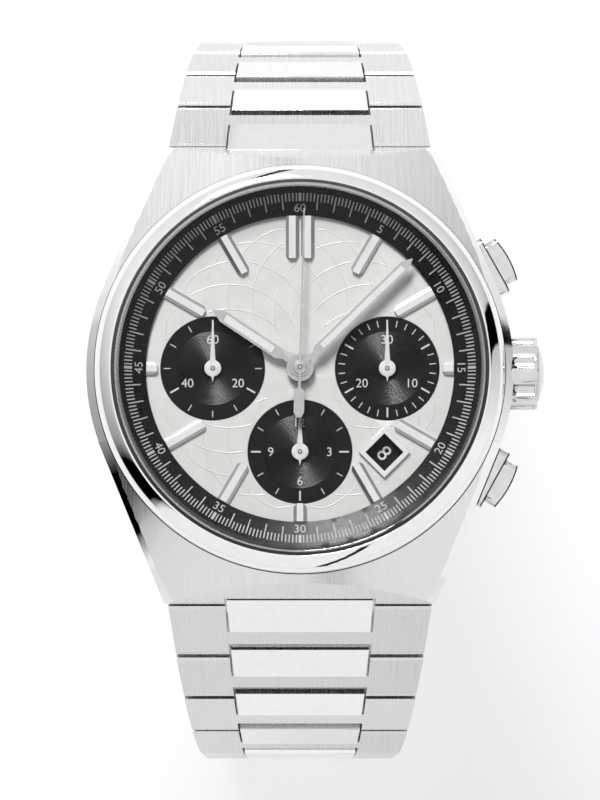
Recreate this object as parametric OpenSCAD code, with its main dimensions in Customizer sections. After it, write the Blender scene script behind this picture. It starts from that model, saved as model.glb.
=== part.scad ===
// Chronograph wristwatch on a folding-clasp link bracelet, closed and standing on its clasp, dial up.
// X points to 3 o'clock, Y to 12 o'clock and Z out of the dial.
// The origin lies on the dial axis at the outer face of the clasp cover.

/* [Case] */
// Radius of the round part of the case
case_r = 20.5; // [20:0.1:22]
// Angle of the straight flanks from the 12 o'clock direction
flank_angle = 22.3; // [20:0.1:24]
// Distance from the dial axis to the edge where the bracelet starts
case_reach = 22.2; // [21.6:0.1:23]
// Depth of that edge below the dial
case_edge_depth = 5.5; // [5:0.1:6]
// Slope of the steep facets at 12 and 6 o'clock
facet_slope = 70; // [64:1:76]
// Slope of the brushed shoulder away from the bezel
shoulder_slope = 41; // [36:1:44]
// Width of the polished bevel around the case
case_bevel = 0.85; // [0.6:0.05:1]
// Depth of the case's underside below the dial
case_depth = 8.4; // [8.2:0.1:9]
// Depth of the line where the flanks start to turn in
girdle_depth = 6.5; // [6.2:0.1:7]
// How far the flanks turn in below that line
girdle_inset = 0.9; // [0.5:0.1:1.2]
// Thickness of the case wall between the bezel's edge and the cavity for the movement
case_wall = 2.55; // [2.35:0.05:2.65]

/* [Bezel and crystal] */
// Height of the bezel's seat below the dial
bezel_seat_depth = 0.1; // [0:0.05:0.3]
// Height of the bezel's outer wall
bezel_wall = 0.45; // [0.2:0.05:0.8]
// Width of the bezel
bezel_w = 1.6; // [1.35:0.05:1.65]
// Height of the bezel's inner edge above the dial
bezel_top = 1.9; // [1.6:0.1:2.2]
// Width of the ledge that carries the crystal
crystal_ledge_w = 0.5; // [0.4:0.05:0.6]
// Thickness of the crystal's gasket
gasket_t = 0.3; // [0.2:0.05:0.5]
// Height of the crystal's underside above the dial
crystal_base = 1.75; // [1.7:0.05:2.2]
// Thickness of the crystal
crystal_t = 1; // [0.8:0.05:1.3]
// Bevel around the crystal's outer edge
crystal_bevel = 0.45; // [0.2:0.05:0.6]

/* [Dial] */
// How far the dial plate's edge lies inside the scale ring's
dial_inset = 0.5; // [0.4:0.05:0.9]
// Thickness of the dial plate
dial_t = 0.5; // [0.4:0.05:0.6]
// Width of the black scale ring
flange_w = 2.65; // [2.4:0.05:2.9]
// Gap between the scale ring and the bezel's ledge
flange_gap = 0.15; // [0.05:0.05:0.25]
// Height of the scale ring at its outer edge
flange_rise = 1.5; // [1.2:0.05:1.6]
// Height of the scale ring at its inner edge
flange_lip = 0.35; // [0.2:0.05:0.5]
// Radius of a sub-dial
subdial_r = 5; // [4.6:0.1:5.2]
// Distance from the side sub-dials to the scale ring
subdial_side_inset = 1.4; // [1.15:0.05:1.55]
// Distance from the lower sub-dial to the scale ring
subdial_low_inset = 1.75; // [1.45:0.05:1.95]
// Depth of the sub-dials' recesses
subdial_recess = 0.15; // [0.1:0.05:0.25]
// Width of an hour marker
marker_w = 1.25; // [1:0.05:1.5]
// Length of an hour marker
marker_len = 4.15; // [3.8:0.05:4.4]
// Length of the short markers at 3 and 9 o'clock
marker_stub = 1.1; // [0.8:0.1:1.2]
// Length of the short marker at 6 o'clock
marker_low_stub = 1.75; // [1.2:0.05:1.9]
// Height of an hour marker
marker_h = 0.38; // [0.3:0.02:0.45]
// Gap between the two bars at 12 o'clock
marker_gap = 0.22; // [0.15:0.01:0.4]
// Distance from the date window's middle to the scale ring
date_inset = 3.35; // [3.15:0.05:3.55]
// Side of the date window
date_side = 2.57; // [2.2:0.05:2.7]
// Width of the date window's frame
date_frame_w = 0.45; // [0.3:0.05:0.5]
// Height of the date window's frame
date_frame_h = 0.3; // [0.2:0.05:0.4]

/* [Hands] */
// Thickness of a hand
hand_t = 0.18; // [0.12:0.02:0.22]
// Height of the sub-dial hands above the dial
sub_hand_z = 0.14; // [0.1:0.02:0.2]
// Height of the hour hand above the dial
hour_z = 0.58; // [0.54:0.02:0.62]
// Height of the minute hand above the dial
minute_z = 0.92; // [0.88:0.02:0.96]
// Height of the chronograph hand above the dial
chrono_z = 1.26; // [1.22:0.02:1.3]
// Length of the hour hand
hour_len = 10; // [9:0.1:10.5]
// Width of the hour hand
hour_w = 1.15; // [0.9:0.05:1.3]
// How far the minute hand reaches over the scale ring
minute_reach = 0.25; // [-0.75:0.05:0.65]
// Width of the minute hand
minute_w = 1; // [0.8:0.05:1.2]
// How far the chronograph hand reaches over the scale ring
chrono_reach = 0.55; // [-0.25:0.05:1.05]
// Length of the chronograph hand's tail
chrono_tail = 4.85; // [4:0.05:5.2]
// Length of the sub-dial hands
sub_hand_len = 4.3; // [3.8:0.1:4.6]
// Tail of the sub-dial hands
sub_hand_tail = 1.35; // [1:0.05:1.6]
// Direction of the minute hand, clockwise from 12 o'clock
minute_angle = 45.8; // [0:0.1:360]
// Direction of the hour hand, clockwise from 12 o'clock
hour_angle = 303.8; // [0:0.1:360]
// Direction of the chronograph hand, clockwise from 12 o'clock
chrono_angle = 1.5; // [0:0.1:360]

/* [Movement] */
// Width of the ring that holds the movement
movement_ring_w = 1.6; // [1.3:0.1:1.9]
// Depth of the main plate's upper face below the dial
plate_top = 1; // [0.95:0.05:1.2]
// Depth of the main plate's lower face below the dial
plate_base = 5.4; // [5.3:0.05:5.5]
// Radius of the pocket for the motion work
pocket_r = 9.4; // [9.2:0.1:9.5]
// Depth of that pocket's floor below the dial
pocket_depth = 2.1; // [2.05:0.05:2.2]
// Thickness of the train bridge
bridge_t = 0.9; // [0.7:0.1:1]
// How far the date disc reaches inward from the date window's middle
date_disc_in = 1.65; // [1.5:0.05:1.8]
// How far the date disc reaches outward from the date window's middle
date_disc_out = 1.8; // [1.7:0.1:2.2]
// Distance between the centre and the minute wheel
motion_distance = 4.8; // [4.7:0.05:4.9]
// Teeth on the cannon pinion
cannon_teeth = 12; // [12:1:12]
// Teeth on the minute wheel
minute_wheel_teeth = 36; // [36:1:36]
// Leaves on the minute wheel's pinion
minute_pinion_teeth = 10; // [10:1:10]
// Teeth on the hour wheel
hour_wheel_teeth = 40; // [40:1:40]
// Radius of the mainspring barrel
barrel_r = 5.2; // [4.8:0.1:5.3]
// Radius of the balance wheel
balance_r = 4; // [3.6:0.1:4.2]
// Gap between the rotor's edge and the ring that holds the movement
rotor_inset = 0.9; // [0.6:0.1:1.5]
// Wall of the main plate outside the mainspring barrel
barrel_inset = 1.1; // [0.8:0.1:1.4]
// Wall of the main plate outside the balance wheel
balance_inset = 1.4; // [1.1:0.1:1.7]

/* [Case back] */
// How far the case back's edge lies inside the round part of the case
back_inset = 1.4; // [1.1:0.1:1.6]
// Thickness of the case back's rim
back_rim_t = 0.7; // [0.6:0.05:0.9]
// Width of the case back's rim
back_rim_w = 2.5; // [2.1:0.1:3.1]
// Height of the raised middle
back_mid_t = 1; // [0.8:0.1:1.2]
// Width of the case back's ring around its window
back_ring_w = 3.7; // [3.4:0.1:4.6]
// Number of case-back screws
screw_count = 6; // [4:1:8]
// Radius of a screw's head
screw_head_r = 0.75; // [0.6:0.05:0.8]
// Radius of a screw's shank
screw_r = 0.4; // [0.3:0.05:0.5]

/* [Crown and pushers] */
// Depth of the crown's axis below the dial
crown_depth = 4.5; // [4.4:0.05:4.6]
// Radius of the crown
crown_r = 3.5; // [3.2:0.1:3.6]
// Radius of the crown's end cap
crown_cap_r = 2.7; // [2.4:0.1:2.9]
// How far the crown stands out from the case
crown_out = 3.1; // [2.7:0.1:3.5]
// Length of the fluted part of the crown
crown_flute_len = 2.6; // [2.4:0.1:2.8]
// Number of flutes
crown_flutes = 8; // [6:1:10]
// Depth of the crown's recess in the flank
crown_recess = 0.6; // [0.4:0.05:0.8]
// How far the crown pulls out
crown_pull = 1.2; // [0.8:0.1:1.4]
// Direction of the pushers above and below 3 o'clock
pusher_angle = 29; // [28:0.5:30]
// Depth of the pushers' axes below the dial
pusher_depth = 4.2; // [4.1:0.05:4.3]
// Length of a pusher's collar along the flank
collar_len = 5.8; // [5.4:0.1:6]
// Height of a pusher's collar
collar_h = 3.2; // [3:0.1:3.4]
// How far a pusher's collar stands out from the case
collar_out = 1; // [0.8:0.05:1.2]
// Length of a pusher's cap along the flank
cap_len = 4.5; // [4.2:0.1:4.6]
// Height of a pusher's cap
cap_h = 2.2; // [2:0.1:2.3]
// How far a pusher's cap stands out from its collar
cap_out = 1.5; // [1.3:0.1:1.9]
// Travel of a pusher
pusher_travel = 0.9; // [0.6:0.05:0.9]

/* [Bracelet] */
// Number of links on each side
link_count = 9; // [9:1:9]
// Distance between two link pins
link_pitch = 5.6; // [5.4:0.1:5.8]
// Distance between the two pins of the link next to the case
first_pitch = 6.3; // [6:0.1:6.6]
// Inclination of the case's end faces
end_angle = 34; // [32:1:36]
// Inclination of the link next to the case
first_angle = 42; // [40:1:44]
// Inclination of the link next to the clasp
last_angle = 164; // [162:1:168]
// How the bend is shared out, from even to mostly near the clasp
curl = 1.5; // [1.4:0.05:1.6]
// Width of the bracelet at the case
bracelet_w = 25.4; // [25:0.1:25.8]
// Width of the bracelet at the clasp
clasp_end_w = 18; // [17.5:0.1:18.5]
// How much each link narrows
link_taper = 1.4; // [1.2:0.1:1.6]
// Share of the width that the centre pieces take
centre_share = 0.56; // [0.54:0.01:0.58]
// Height of the links above their pins
link_top = 1.9; // [1.8:0.05:2]
// Depth of the links below their pins
link_base = 1.1; // [1.05:0.05:1.15]
// How far the centre pieces stand above the links
centre_rise = 0.25; // [0.1:0.05:0.35]
// Width of the bar across each link
crossbar_w = 1.6; // [1.4:0.1:1.8]
// Distance from a link's end to its pin
pin_inset = 1; // [0.95:0.05:1.1]
// Radius of a link pin
pin_r = 0.5; // [0.4:0.05:0.55]
// Chamfer along the links' ends
link_chamfer = 0.2; // [0.1:0.05:0.3]

/* [Clasp] */
// Width of the clasp cover
cover_w = 18; // [17.6:0.1:18.4]
// Thickness of the cover's side walls
cover_wall = 1; // [0.8:0.1:1.2]
// Depth of the cover's inner face outside the pins
cover_base = 1.15; // [1.1:0.05:1.25]
// Thickness of the cover's plate
cover_t = 1.25; // [1.2:0.05:1.4]
// Thickness of a clasp blade
blade_t = 0.7; // [0.6:0.05:0.75]
// Distance from the last link pin to the cover's hinge
cover_hinge_inset = 4.2; // [4:0.1:4.6]
// Distance from the loop's free end to the blades' hinge
blade_hinge_inset = 9.8; // [9.6:0.1:10.4]
// Radius of a clasp hinge pin
hinge_pin_r = 0.3; // [0.25:0.05:0.35]

/* [Fits] */
// Radial clearance of turning and sliding pieces
run_gap = 0.05; // [0.03:0.01:0.07]
// Radial clearance of seated pieces
seat_gap = 0.02; // [0.01:0.01:0.03]
// Gap between neighbouring links
joint_gap = 0.12; // [0.1:0.02:0.16]
// Gap beside the centre pieces
slot_gap = 0.1; // [0.08:0.02:0.14]
// Gap around parts that fold past each other
fold_gap = 0.3; // [0.2:0.05:0.4]

/* [Hidden] */
$fn = 64;
far = 80;

// Colours
steel = [0.78, 0.78, 0.79];
polished = [0.86, 0.86, 0.87];
black = [0.06, 0.06, 0.06];
silver_white = [0.92, 0.92, 0.89];
brass = [0.83, 0.7, 0.42];
clear = [0.85, 0.9, 0.92, 0.35];
rubber = [0.1, 0.1, 0.1];

// Bracelet chain: inclination of link i, its pin spacing, and the pin axes in the Y-Z plane.
// Link i lies between pin axis i - 1 and pin axis i, and pin axis 0 is the case's spring bar.
function incline(i) =
    i < 1 ? end_angle :
    i > link_count ? 180 :
    first_angle + (last_angle - first_angle) * pow((i - 1) / (link_count - 1), curl);
function pitch(i) = i == 1 ? first_pitch : link_pitch;
function along(a) = [0, cos(a), -sin(a)];
function out(a) = [0, sin(a), cos(a)];
case_edge = [0, case_reach, -case_edge_depth];
case_pin = case_edge - pin_inset * along(end_angle) - link_top * out(end_angle);
function pin_axis(i) = i == 0 ? case_pin : pin_axis(i - 1) + pitch(i) * along(incline(i));
clasp_pin = pin_axis(link_count);
clasp_span = 2 * clasp_pin.y;

// Height of the dial's face above the outer face of the clasp cover
dial_z = cover_base + cover_t - clasp_pin.z;

// Bracelet widths: at pin i, and at a distance s past the pin that link i starts from
function width_at(i) = max(clasp_end_w, bracelet_w - i * link_taper);
function link_w(i, s) = width_at(i - 1) + (width_at(i) - width_at(i - 1)) * (s - pin_inset) / pitch(i);

// Link details
eye_relief = 0.05;
eye_r = link_base - eye_relief;
eye_gap = joint_gap + run_gap;
end_relief = 25;
centre_lead = 0.3;
first_lead = -0.12;
function lead(i) = i == 1 ? first_lead : centre_lead;
bar_end = centre_lead + joint_gap;
groove = 0.05;
dowel_r = 0.45;
dowel_len = 1;
pin_end_inset = 0.3;
spring_bar_inset = 1.4;

// Case details
flank_len = case_reach / cos(flank_angle) - case_r * tan(flank_angle);
case_top = -bezel_seat_depth;
bezel_r = case_r - case_bevel;
bezel_bore_r = bezel_r - bezel_w;
cavity_r = bezel_r - case_wall;
corner_drop = (norm([bezel_r, flank_len]) - bezel_r) * tan(shoulder_slope);
bevel_sag = corner_drop / sqrt(2);
bevel_bend_r = (flank_len * flank_len + bevel_sag * bevel_sag) / (2 * bevel_sag);
bevel_axis = (bezel_r + case_top) / sqrt(2) - bevel_bend_r;
flank_step = 0.02;
bezel_dome_r = 2;

// Dial and crystal details
crystal_ledge_r = bezel_bore_r - crystal_ledge_w;
flange_out_r = crystal_ledge_r - flange_gap;
flange_in_r = flange_out_r - flange_w;
dial_r = flange_out_r - dial_inset;
crystal_r = bezel_bore_r - gasket_t - 2 * seat_gap;
crystal_top = crystal_base + crystal_t;
hour_tube_r = 0.95;
cannon_tube_r = 0.7;
chrono_arbor_r = 0.35;
sub_arbor_r = 0.22;
dial_hole_gap = 0.2;
subdial_t = subdial_recess - seat_gap;
subdial_side = flange_in_r - subdial_side_inset - subdial_r;
subdial_low = flange_in_r - subdial_low_inset - subdial_r;
subdials_at = [[-subdial_side, 0], [subdial_side, 0], [0, -subdial_low]];
date_r = flange_in_r - date_inset;
date_angle = -45;
minute_len = flange_in_r + minute_reach;
chrono_len = flange_in_r + chrono_reach;
lume_border = 0.2;
hand_neck = 1.9;
hand_point = 0.12;
hour_hub_r = 1.3;
minute_hub_r = 0.87;
chrono_hub_r = 0.65;
chrono_w = 0.12;
chrono_blade = 0.5;
chrono_cap = 0.12;
sub_hub_r = 0.8;
sub_hand_w = 0.6;
arbor_grip = 0.9;
arbor_depth = pocket_depth + arbor_grip;

// Movement details
plate_r = cavity_r - movement_ring_w;
cannon_module = 2 * motion_distance / (cannon_teeth + minute_wheel_teeth);
hour_module = 2 * motion_distance / (minute_pinion_teeth + hour_wheel_teeth);
motion_angle = 60;
wheel_t = 0.4;
wheel_gap = 0.1;
minute_wheel_z = -pocket_depth + wheel_gap;
hour_wheel_z = minute_wheel_z + wheel_t + wheel_gap;
date_disc_in_r = date_r - date_disc_in;
date_disc_out_r = date_r + date_disc_out;
date_disc_t = 0.3;
date_disc_z = -plate_top + run_gap;
bridge_z = -plate_base - seat_gap - bridge_t;
barrel_angle = 60;
barrel_at = (plate_r - barrel_inset - barrel_r) * [cos(barrel_angle), sin(barrel_angle)];
barrel_t = 1.9;
barrel_arbor_r = 0.5;
barrel_z = -plate_base + fold_gap;
balance_angle = 237;
balance_at = (plate_r - balance_inset - balance_r) * [cos(balance_angle), sin(balance_angle)];
balance_t = 0.6;
balance_rim = 0.6;
balance_z = -plate_base + fold_gap;
staff_r = 0.25;
cock_w = 3;
bridge_inset = 0.2;
bridge_r = plate_r - bridge_inset;
minute_post_r = 0.4;
rotor_r = plate_r - rotor_inset;
rotor_post_r = 0.8;
rotor_hub_r = 2.2;
rotor_gap = 0.3;
rotor_web_t = 0.35;
rotor_rim_t = 1;
rotor_rim_w = 3;
rotor_z = bridge_z - rotor_gap;
stem_r = 0.6;
stem_in = 9.4;

// Case-back details
back_z = -case_depth;
back_r = case_r - back_inset;
back_mid_r = back_r - back_rim_w;
window_r = back_mid_r - back_ring_w;
screw_offset = 0.15;
screw_ring_r = (cavity_r + back_r) / 2 + screw_offset;
screw_turn = screw_count % 4 == 0 ? 0.5 : 0;
screw_len = 2;
screw_head_t = 0.35;
screw_slot = 0.2;
window_t = 0.9;
window_lip = 0.6;
window_z = back_z - back_rim_t - back_mid_t / 2;
back_gasket_wall = 0.3;
back_gasket_r = cavity_r + back_gasket_wall;
back_gasket_w = 0.3;

// Crown and pusher details
crown_face = case_r - crown_recess + fold_gap;
crown_end = case_r + crown_out;
crown_tube_r = 1.5;
crown_tube_bore_r = stem_r + 3 * run_gap;
crown_tube_overlap = 0.2;
crown_tube_out = crown_pull + crown_tube_overlap;
crown_cavity_r = 2.2;
crown_cavity_end = 0.4;
crown_cavity_len = crown_tube_out + crown_cavity_end;
crown_gasket_w = 0.4;
crown_dome_r = 6;
stem_grip = 0.7;
flute_r = 0.64;
flute_turn = 33.5;
flute_end = 0.3;
collar_reach = case_r + collar_out;
collar_depth = 1.5;
collar_in = collar_reach - collar_depth;
collar_floor = 0.3;
collar_round = 0.7;
cap_gap = 0.12;
cap_round = 0.6;
cap_bow_r = 9;
cap_reach = collar_reach + cap_out;
cap_rest = collar_in + collar_floor + pusher_travel + fold_gap / 4;
pusher_stem_r = 0.55;
pusher_stem_tip = 0.2;
pusher_stem_in = cavity_r - pusher_stem_tip;
spring_wire_r = 0.1;
spring_turns = 6;
spring_r = pusher_stem_r + 2 * spring_wire_r + run_gap;
spring_ledge = 0.8;
spring_seat = cavity_r + spring_ledge;
chamber_r = spring_r + spring_wire_r + 2 * run_gap;
tube_wall = 0.35;
pusher_tube_r = chamber_r + tube_wall;

// Clasp details, measured outward from the last pin axis
inner_blade_base = -link_base;
outer_blade_base = inner_blade_base + blade_t + fold_gap;
hinge_lift = 0.05;
hinge_depth = outer_blade_base + blade_t / 2 + hinge_lift;
hinge_eye_r = 0.6;
cover_hinge_s = cover_hinge_inset;
blade_hinge_s = clasp_span - blade_hinge_inset;
cover_end_s = clasp_span - pin_inset - 2 * fold_gap;
cover_round = 0.8;
wall_end_r = 1;
blade_w = cover_w - 2 * cover_wall - 2 * fold_gap;
knuckle_w = blade_w / 3;

// Shared shapes

// Everything below is placed from the dial's face
module from_dial() translate([0, 0, dial_z]) children();

// A disc between two heights
module disc(r, z0, z1) translate([0, 0, z0]) cylinder(r = r, h = z1 - z0);

// A flat ring between two heights
module ring(r_out, r_in, z0, z1)
    translate([0, 0, z0])
        linear_extrude(z1 - z0)
            difference() {
                circle(r_out);
                circle(r_in);
            }

// Extrudes an outline drawn as (Y, Z) along X
module extrude_x(len) rotate([90, 0, 90]) linear_extrude(len, center = true) children();

// A rod along X, centred on the Y-Z plane
module rod_x(r, len) rotate([0, 90, 0]) cylinder(r = r, h = len, center = true);

// A rod along X between two positions
module rod_x_span(r, x0, x1) translate([x0, 0, 0]) rotate([0, 90, 0]) cylinder(r = r, h = x1 - x0);

// A rectangle with round corners
module round_rect(w, h, r) {
    square([w - 2 * r, h], center = true);
    square([w, h - 2 * r], center = true);
    for (x = [-1, 1], y = [-1, 1])
        translate([x * (w / 2 - r), y * (h / 2 - r)]) circle(r);
}

// A turn from 12 o'clock, clockwise
module clockwise(angle) rotate([0, 0, -angle]) children();

// Link i's own directions: X across, Y along the link and Z outward, from the pin it starts at
module at_link(i, side)
    rotate([0, 0, side > 0 ? 0 : 180])
        from_dial()
            translate(pin_axis(i - 1))
                rotate([-incline(i), 0, 0])
                    children();

// The plan of a tapering strip of link i between two distances, as a tall prism
module link_plan(i, share, extra, s0, s1) {
    h0 = share * link_w(i, s0) / 2 + extra;
    h1 = share * link_w(i, s1) / 2 + extra;
    linear_extrude(far, center = true)
        polygon([[-h0, s0], [h0, s0], [h1, s1], [-h1, s1]]);
}

// Gear outline with plain tapered teeth and some backlash
module gear_outline(teeth, module_size) {
    pitch_r = teeth * module_size / 2;
    root_r = pitch_r - 1.1 * module_size;
    tip_r = pitch_r + 0.7 * module_size;
    pitch_angle = 360 / teeth;
    polygon([
        for (k = [0 : teeth - 1], p = [[-0.3, root_r], [-0.12, tip_r], [0.12, tip_r], [0.3, root_r]])
            p[1] * [cos((k + p[0]) * pitch_angle), sin((k + p[0]) * pitch_angle)]
    ]);
}

// A helical spring of round wire along X between two positions
module coil_x(r, wire_r, turns, x0, x1) {
    sides = 6;
    steps = 14 * turns;
    function centre(k) = [
        x0 + wire_r + (x1 - x0 - 2 * wire_r) * k / steps,
        r * cos(360 * turns * k / steps),
        r * sin(360 * turns * k / steps)
    ];
    function ring_point(k, j) =
        centre(k) + wire_r * [
            sin(360 * j / sides),
            cos(360 * j / sides) * cos(360 * turns * k / steps),
            cos(360 * j / sides) * sin(360 * turns * k / steps)
        ];
    polyhedron(
        points = [for (k = [0 : steps], j = [0 : sides - 1]) ring_point(k, j)],
        faces = [
            [for (j = [0 : sides - 1]) j],
            for (k = [0 : steps - 1], j = [0 : sides - 1])
                [
                    k * sides + j, (k + 1) * sides + j,
                    (k + 1) * sides + (j + 1) % sides, k * sides + (j + 1) % sides
                ],
            [for (j = [sides - 1 : -1 : 0]) steps * sides + j]
        ]
    );
}

// Places on the case

// The end of the case at 12 or 6 o'clock, from the spring bar
module at_case_end(side)
    rotate([0, 0, side > 0 ? 0 : 180])
        translate(case_pin)
            rotate([-end_angle, 0, 0])
                children();

// The crown's axis
module at_crown() translate([0, 0, -crown_depth]) children();

// The axis of the upper or lower pusher
module at_pusher(side)
    rotate([0, 0, side * pusher_angle])
        translate([0, 0, -pusher_depth])
            children();

// A rounded rectangular block along a pusher's axis between two distances
module pusher_block(len, h, r, x0, x1)
    translate([x0, 0, 0])
        rotate([90, 0, 90])
            linear_extrude(x1 - x0)
                round_rect(len, h, r);

// The places of the case-back screws, none of them at the bracelet
module at_screws()
    for (k = [0 : screw_count - 1])
        rotate([0, 0, (k + screw_turn) * 360 / screw_count])
            translate([screw_ring_r, 0, 0])
                children();

// Case

// Everything inside one straight flank, with its bevel
module flank_block(side)
    mirror([side, 0, 0])
        rotate([0, 0, flank_angle])
            intersection() {
                rotate([90, 0, 0])
                    linear_extrude(far, center = true)
                        polygon([
                            [-far, -far],
                            [girdle_r(far), -far],
                            [case_r + flank_step, -girdle_depth],
                            [case_r + flank_step, far],
                            [-far, far]
                        ]);
                translate([bevel_axis / sqrt(2), 0, bevel_axis / sqrt(2)])
                    rotate([0, 135, 0])
                        cylinder(r = bevel_bend_r, h = 4 * far, center = true);
            }

// Reach of the flanks at a depth below the girdle
function girdle_r(depth) = case_r - girdle_inset * (depth - girdle_depth) / (case_depth - girdle_depth);

// The 12 o'clock end of the case, between its two flanks
module case_end()
    intersection() {
        flank_block(0);
        flank_block(1);
        translate([-far / 2, case_r * sin(flank_angle) - case_bevel, -far / 2]) cube(far);
    }

// The round part of the case, left over-tall so that the side profile trims it
module case_barrel()
    rotate_extrude()
        polygon([
            [0, -case_depth - 1],
            [girdle_r(case_depth + 1), -case_depth - 1],
            [case_r, -girdle_depth],
            [case_r, case_top - case_bevel],
            [bezel_r - 1, case_top + 1],
            [0, case_top + 1]
        ]);

// The case seen from 3 o'clock: flat top, steep facets, and end faces square to the first links
module case_profile() {
    facet_y = case_reach - (case_edge_depth + case_top) / tan(facet_slope);
    base_y = case_reach - (case_depth - case_edge_depth) * tan(end_angle);
    extrude_x(far)
        polygon([
            [-facet_y, case_top], [facet_y, case_top],
            [case_reach, -case_edge_depth], [base_y, -case_depth],
            [-base_y, -case_depth], [-case_reach, -case_edge_depth]
        ]);
}

// The brushed shoulder is one wide cone around the dial axis
module shoulder_cone()
    rotate_extrude()
        polygon([
            [0, -far],
            [far, -far],
            [far, case_top - (far - bezel_r) * tan(shoulder_slope)],
            [0, case_top + bezel_r * tan(shoulder_slope)]
        ]);

// Room for the first centre piece, under a lip of the case
module case_end_notch() {
    room_r = eye_r + eye_gap;
    lip = -first_lead - joint_gap;
    intersection() {
        link_plan(1, centre_share, slot_gap, -far / 4, far / 4);
        extrude_x(far)
            union() {
                circle(room_r);
                translate([-room_r, -far]) square([far, far]);
                translate([lip, -far / 2]) square(far);
            }
    }
}

module case_middle()
    color(steel)
        from_dial()
            difference() {
                intersection() {
                    union() {
                        case_barrel();
                        case_end();
                        rotate([0, 0, 180]) case_end();
                    }
                    case_profile();
                    shoulder_cone();
                }
                disc(cavity_r, -far, far);
                ring(
                    back_gasket_r + back_gasket_w, back_gasket_r,
                    -case_depth - 1, -case_depth + back_gasket_w
                );
                at_screws() disc(screw_r + seat_gap, -far, -case_depth + screw_len);
                at_crown() {
                    rod_x_span(crown_r + fold_gap, case_r - crown_recess, far);
                    rod_x_span(crown_tube_r + seat_gap, cavity_r / 2, far);
                }
                for (side = [-1, 1]) {
                    at_pusher(side) {
                        rod_x_span(pusher_tube_r + seat_gap, cavity_r / 2, far);
                        pusher_block(
                            collar_len + 2 * seat_gap, collar_h + 2 * seat_gap, collar_round,
                            collar_in - seat_gap, far
                        );
                    }
                    at_case_end(side) {
                        case_end_notch();
                        rod_x(pin_r + seat_gap, bracelet_w - 2 * spring_bar_inset + 2 * seat_gap);
                    }
                }
            }

module bezel() {
    foot = [bezel_r, case_top + bezel_wall];
    crest = [bezel_bore_r, bezel_top];
    half = (crest - foot) / 2;
    sag = sqrt(bezel_dome_r * bezel_dome_r - half * half);
    dome_centre = foot + half + sag * [-half.y, half.x] / norm(half);
    color(polished)
        from_dial()
            rotate_extrude() {
                intersection() {
                    translate([bezel_bore_r, case_top + seat_gap])
                        square([bezel_r - bezel_bore_r, bezel_top - case_top - seat_gap]);
                    translate(dome_centre) circle(bezel_dome_r);
                }
                translate([crystal_ledge_r, case_top + seat_gap])
                    square([crystal_ledge_w + seat_gap, crystal_base - case_top - 2 * seat_gap]);
            }
}

module crystal()
    color(clear)
        from_dial()
            rotate_extrude()
                polygon([
                    [0, crystal_base],
                    [crystal_r, crystal_base],
                    [crystal_r, crystal_top - crystal_bevel],
                    [crystal_r - crystal_bevel, crystal_top],
                    [0, crystal_top]
                ]);

module seals()
    color(rubber)
        from_dial() {
            ring(crystal_r + gasket_t, crystal_r + seat_gap, crystal_base, bezel_top - seat_gap);
            ring(
                back_gasket_r + back_gasket_w - seat_gap, back_gasket_r + seat_gap,
                -case_depth + seat_gap, -case_depth + back_gasket_w - seat_gap
            );
        }

module flange_ring()
    color(black)
        from_dial()
            rotate_extrude()
                polygon([
                    [flange_in_r, seat_gap],
                    [flange_out_r, seat_gap],
                    [flange_out_r, flange_rise],
                    [flange_in_r, flange_lip]
                ]);

// Dial

module at_date() rotate([0, 0, date_angle]) translate([date_r, 0, 0]) children();

module dial_plate()
    color(silver_white)
        from_dial()
            difference() {
                disc(dial_r, -dial_t, 0);
                disc(hour_tube_r + dial_hole_gap, -far, far);
                for (p = subdials_at)
                    translate(p) {
                        disc(subdial_r + seat_gap, -subdial_recess, far);
                        disc(sub_arbor_r + dial_hole_gap, -far, far);
                    }
                at_date() cube([date_side, date_side, far], center = true);
            }

module subdials()
    color(black)
        from_dial()
            for (p = subdials_at)
                translate(p)
                    ring(
                        subdial_r, sub_arbor_r + dial_hole_gap,
                        -subdial_recess, -subdial_recess + subdial_t
                    );

// One applied bar with a bevelled top, from the scale ring inward, pointing to 12 o'clock
module marker(len, w) {
    tip = flange_in_r - seat_gap;
    intersection() {
        translate([0, tip, 0])
            rotate([90, 0, 0])
                linear_extrude(len)
                    polygon([
                        [-w / 2, 0], [w / 2, 0], [w / 2, marker_h / 2],
                        [w / 4, marker_h], [-w / 4, marker_h], [-w / 2, marker_h / 2]
                    ]);
        linear_extrude(far, center = true)
            polygon([
                [-w / 2 - 1, tip], [w / 2 + 1, tip], [w / 2 + 1, tip - len + w / 4 + 1],
                [w / 4, tip - len], [-w / 4, tip - len], [-w / 2 - 1, tip - len + w / 4 + 1]
            ]);
    }
}

module hour_markers()
    color(polished)
        from_dial() {
            for (side = [-1, 1])
                translate([side * (marker_w + marker_gap) / 2, 0, 0]) marker(marker_len, marker_w);
            for (hour = [1, 2, 4, 5, 7, 8, 10, 11])
                clockwise(30 * hour) marker(marker_len, marker_w);
            for (hour = [3, 9])
                clockwise(30 * hour) marker(marker_stub, marker_w);
            clockwise(180) marker(marker_low_stub, marker_w);
        }

module date_frame() {
    outer = date_side + 2 * date_frame_w;
    color(polished)
        from_dial()
            at_date()
                linear_extrude(date_frame_h)
                    difference() {
                        square(outer, center = true);
                        square(date_side, center = true);
                    }
}

// Hands

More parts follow.
